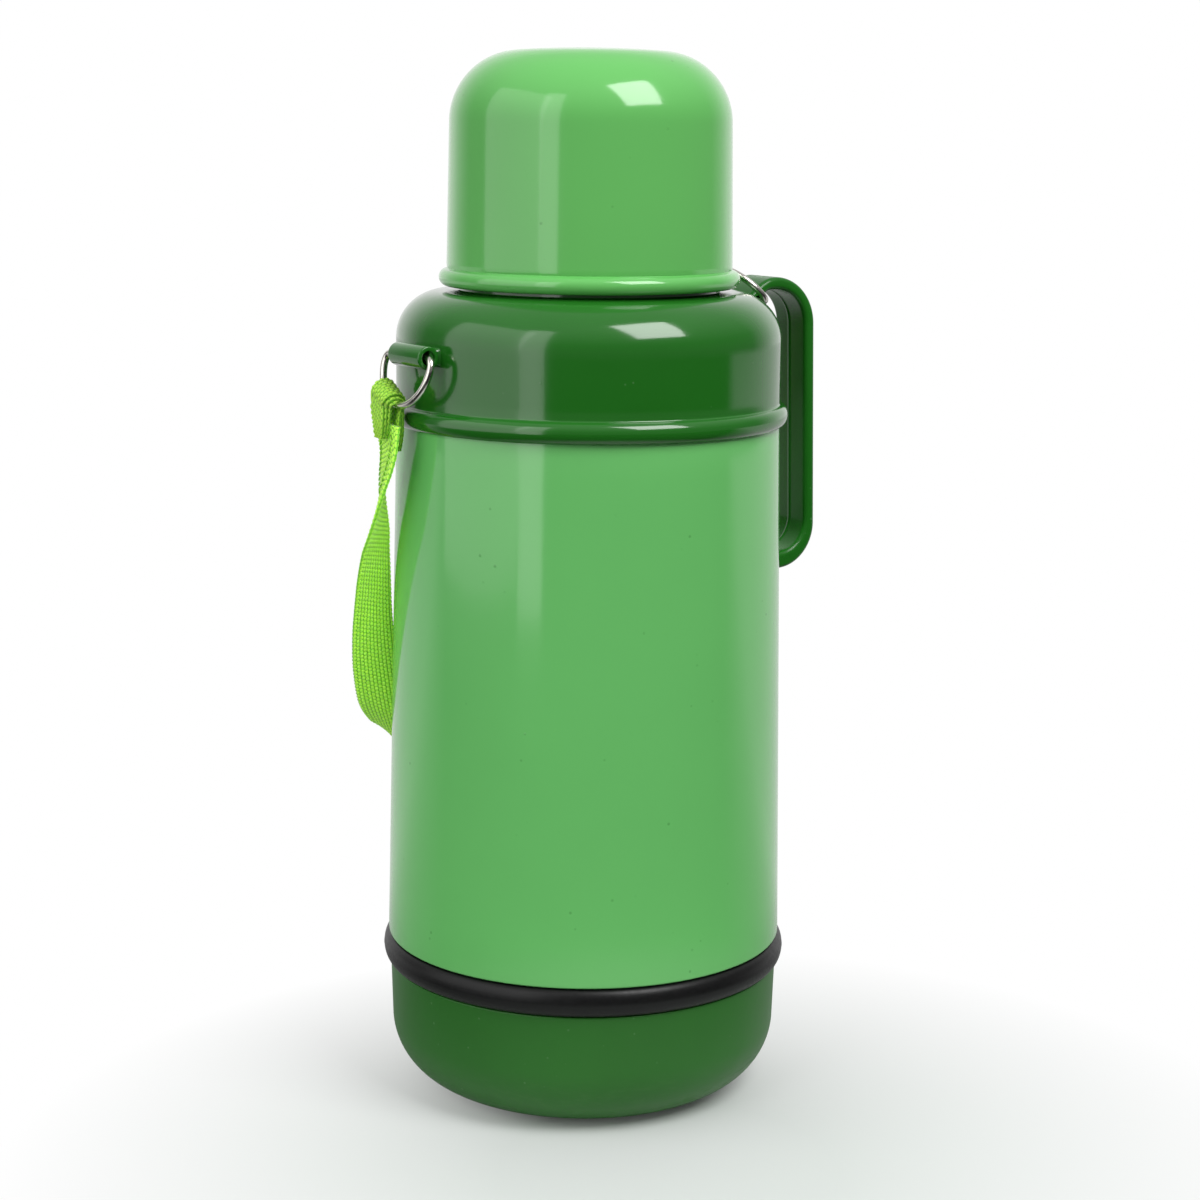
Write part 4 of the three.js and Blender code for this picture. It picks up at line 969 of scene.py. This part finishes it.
def handleOutline():
    h = handleSize
    wall, low, arm = h["wallTop"], h["low"], h["low"] + h["arm"]
    archX, archZ = h["bar"] - h["topRadius"], h["top"] - h["topRadius"]
    lowX, lowZ = h["bar"] + h["flare"] - h["lowRadius"], low + h["lowRadius"]
    topInner, lowInner = h["topRadius"] - h["thick"], h["lowRadius"] - h["thick"]
    outer = [(wall - 5.4, 247.2)]
    outer += bent((wall - 4, 248.2), (wall + 1, h["top"] - 1.2), (archX - 2, h["top"] - 0.2), 12)
    outer += arcPoints(archX, archZ, h["topRadius"], h["topRadius"], 90, 0, 22)
    outer += [(h["bar"] + h["flare"] * t, archZ + (lowZ - archZ) * t)
              for t in np.linspace(0.08, 0.92, 8)]
    outer += arcPoints(lowX, lowZ, h["lowRadius"], h["lowRadius"], 0, -90, 22)
    outer += [(x, low + z) for x, z in h["foot"]]
    inner = [(x, low + z) for x, z in h["footInside"]]
    inner += bent((65.0, arm + 2.6), (65.2, arm), (67.6, arm), 6)
    inner += arcPoints(lowX, arm + lowInner, lowInner, lowInner, -90, 0, 18)
    inner += [(h["bar"] - h["thick"] + h["flare"] * t, archZ + (arm + lowInner - archZ) * t)
              for t in np.linspace(0.92, 0.08, 8)]
    inner += arcPoints(archX, archZ, topInner, topInner, 0, 90, 18)
    inner += bent((archX - 1, archZ + topInner), (wall + 2.6, 250.9), (wall + 2.1, 247.4), 10)[1:]
    return outer, inner + list(h["root"])


def makeHandle():
    h = handleSize
    outer, inner = handleOutline()
    outline = np.array(outer + inner, float)
    isOuter = np.array([1.0] * len(outer) + [0.0] * len(inner))
    before, after = outline - np.roll(outline, 1, axis=0), np.roll(outline, -1, axis=0) - outline
    normal = unit(sum(unit(np.column_stack([-d[:, 1], d[:, 0]])) for d in (before, after)))
    arms = np.clip((outline[:, 0] - h["fadeFrom"]) / h["fade"], 0, 1)  # no grooves at the root
    half, edge = h["width"] / 2, h["edge"]
    stations = [(-half + edge * (1 - math.cos(a)), edge * (1 - math.sin(a)))
                for a in np.radians(np.linspace(0, 90, 8))]
    flat = [(y, 0.0) for y in np.linspace(-half + edge, half - edge, 42)[1:-1]]
    stations = stations + flat + [(-y, d) for y, d in reversed(stations)]
    points = []
    for y, inset in stations:
        grooves = sum(math.exp(-((abs(y) - c) / h["grooveWidth"]) ** 2) for c in h["grooves"])
        ridge = math.exp(-((y - h["ridgeAt"]) / h["ridgeWidth"]) ** 2)
        depth = isOuter * h["groove"] * grooves - (1 - isOuter) * h["ridge"] * ridge
        moved = outline - normal * (inset + arms * depth)[:, None]
        points += [(p[0] * mm, y * mm, p[1] * mm) for p in moved]
    faces = skinFaces(len(stations), len(outline))
    made = outward(makeObject("handleGrip", points, faces, handleGreen, 40))
    hole = bpy.data.meshes.new("holeCutter")
    spot = Matrix.Translation(Vector(rings["ringRight"]["pivot"]) * mm)
    work = bmesh.new()
    bmesh.ops.create_cone(work, cap_ends=True, segments=24, radius1=h["hole"] * mm,
                          radius2=h["hole"] * mm, depth=0.03,
                          matrix=spot @ Matrix.Rotation(math.pi / 2, 4, "X"))
    work.to_mesh(hole)
    work.free()
    cutter = bpy.data.objects.new("holeCutter", hole)
    scene.collection.objects.link(cutter)
    cut = made.modifiers.new("hole", "BOOLEAN")
    cut.operation = "DIFFERENCE"
    cut.solver = "EXACT"
    cut.object = cutter
    applied(made)
    bpy.data.objects.remove(cutter)
    made.data.shade_smooth()
    made.data.set_sharp_from_angle(angle=math.radians(40))
    return made

settle(makeHandle(), "flask", "dark_green_plastic", "handle")
print("handle made")

# Pieces that stay as the CAD made them, with the visual model's materials
kept = {"refill_support": creamPlastic, "refill_cushion": rubber, "glass_outer": silvered,
        "glass_inner": silvered, "spacer_pad_1": felt, "spacer_pad_2": felt,
        "spacer_pad_3": felt, "shock_ring": foam, "mouth_seal": silicone,
        "stopper_seal": silicone, "stopper_foam": foam, "handle_screw_1": steel,
        "handle_screw_2": steel}
for node, material in kept.items():
    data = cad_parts[node].data
    data.materials.clear()
    data.materials.append(material)

first, last = stitchSize["first"], stitchSize["last"]
followRing(stitchRow("stitchesLeft", leftLine, leftSide, first, last))
followRing(stitchRow("stitchesRight", rightLine, rightSide, rightLength - last,
                     rightLength - first))

# Floor: it fades out between fadeFrom and fadeTo; white is what the camera sees there,
# front and back what it gives as light before and behind the flask
# Painted shadow: near the flask the floor is a grey diffuse that also takes the lamps' real shadows;
# this grey patch, centred a little toward the camera and to its right by shade, fades into white
# between fadeFrom and fadeTo
stageSize = {"radii": (0.05, 0.1, 0.2, 0.4, 0.8, 1.6, 3.0), "under": -0.0002,
             "colour": (0.66, 0.685, 0.67, 1), "fadeFrom": 0.05, "fadeTo": 0.2, "glow": 0.03,
             "shade": 0.08, "white": 1.0, "front": 0.03, "back": 0.75, "turns": (-0.05, 0.2)}


def vectorNode(tree, operation, result, **vectors):
    node = addNode(tree, "ShaderNodeVectorMath", {"operation": operation})
    for socket, value in zip(node.inputs, vectors.values()):
        feed(tree, socket, value)
    return node.outputs[result]


# One strength for the camera, another for everything that the light falls on
def forCamera(tree, others, white):
    seen = addNode(tree, "ShaderNodeLightPath").outputs["Is Camera Ray"]
    return addNode(tree, "ShaderNodeMix", {"data_type": "FLOAT"}, Factor=seen, A=others,
                   B=white).outputs["Result"]


def makeFloor():
    s, around = stageSize, 64
    points, faces = [(0, 0, s["under"])], []
    for r in s["radii"]:
        points += [(r * math.cos(2 * math.pi * k / around), r * math.sin(2 * math.pi * k / around),
                    s["under"]) for k in range(around)]
    for k in range(around):
        n = (k + 1) % around
        faces.append((0, 1 + k, 1 + n))
        for i in range(len(s["radii"]) - 1):
            low, high = 1 + i * around, 1 + (i + 1) * around
            faces.append((low + k, high + k, high + n, low + n))
    material, tree, shader = newMaterial("paleFloor")
    feedAll(tree, shader, Base_Color=s["colour"], Roughness=0.8, Specular_IOR_Level=0.1)
    place = objectPoints(tree)
    # painted shadow: distance from the grey patch's centre, which sits toward the camera
    fromPaintedShadow = vectorNode(tree, "ADD", "Vector", a=place, b=ahead * s["shade"] - aside * s["shade"] / 3)
    paintedShadowDistance = vectorNode(tree, "LENGTH", "Value", a=fromPaintedShadow)
    fade = remap(tree, paintedShadowDistance, s["fadeFrom"], s["fadeTo"], s["glow"])
    behind = vectorNode(tree, "DOT_PRODUCT", "Value", a=place, b=ahead)
    room = remap(tree, behind, *s["turns"], s["front"], s["back"])
    glow = addNode(tree, "ShaderNodeEmission", Color=(1, 1, 1, 1),
                   Strength=forCamera(tree, room, s["white"]))
    mixed = addNode(tree, "ShaderNodeMixShader", Fac=fade)
    tree.links.new(shader.outputs[0], mixed.inputs[1])
    tree.links.new(glow.outputs[0], mixed.inputs[2])
    tree.links.new(mixed.outputs[0], tree.nodes["Material Output"].inputs["Surface"])
    return makeObject("floor", points, faces, material)


makeFloor()

# The room: white to the camera, graded for the light it gives, dimmest from the front
roomSize = {"white": 1.0, "sides": 1.0, "front": 0.16, "above": 0.6, "facing": (-0.8, -0.4),
            "rise": (0.25, 0.8)}


def makeRoom():
    world = bpy.data.worlds.new("studio")
    world.use_nodes = True
    tree = world.node_tree
    way = addNode(tree, "ShaderNodeTexCoord").outputs["Generated"]
    front = vectorNode(tree, "DOT_PRODUCT", "Value", a=way, b=-ahead)
    facing = remap(tree, front, *roomSize["facing"], roomSize["sides"], roomSize["front"])
    up = addNode(tree, "ShaderNodeSeparateXYZ", Vector=way).outputs["Z"]
    graded = addNode(tree, "ShaderNodeMix", {"data_type": "FLOAT"}, A=facing, B=roomSize["above"],
                     Factor=remap(tree, up, *roomSize["rise"])).outputs["Result"]
    feedAll(tree, tree.nodes["Background"], Color=(1, 1, 1, 1),
            Strength=forCamera(tree, graded, roomSize["white"]))
    scene.world = world


makeRoom()

# Lamps: position as aside, ahead and up from the axis, aim, size in metres and power in watts
lamps = {"softboxTop": {"at": (0.52, -0.5, 0.98), "aim": (0, 0, 0.29), "size": (0.54, 0.62),
                        "power": 9.0},
         "panelLeft": {"at": (-0.9, -0.42, 0.42), "aim": (0, 0, 0.2), "size": (1.0, 1.3),
                       "power": 5.0},
         "stripLeft": {"at": (-0.5, -0.8, 0.42), "aim": (0, 0, 0.2), "size": (0.26, 1.25),
                       "power": 2.1},
         "strapFill": {"at": (0.15, -0.9, 0.4), "aim": (-0.06, 0, 0.17), "size": (0.6, 0.6),
                       "power": 8.0}}
strapOnly = bpy.data.collections.new("strapOnly")  # all that the fill lights: it goes dark otherwise
for piece in (strapLeft, strapRight):
    strapOnly.objects.link(piece)
for name, lamp in lamps.items():
    data = bpy.data.lights.new(name, "AREA")
    data.shape = "RECTANGLE"
    data.size, data.size_y = lamp["size"]
    data.energy = lamp["power"]
    light = bpy.data.objects.new(name, data)
    x, y, z = lamp["at"]
    light.location = aside * x + ahead * y + Vector((0, 0, z))
    aim = Vector(lamp["aim"]) - light.location
    light.rotation_euler = aim.to_track_quat("-Z", "Y").to_euler()
    if name == "strapFill":
        light.light_linking.receiver_collection = strapOnly
    scene.collection.objects.link(light)
print("floor and light set")
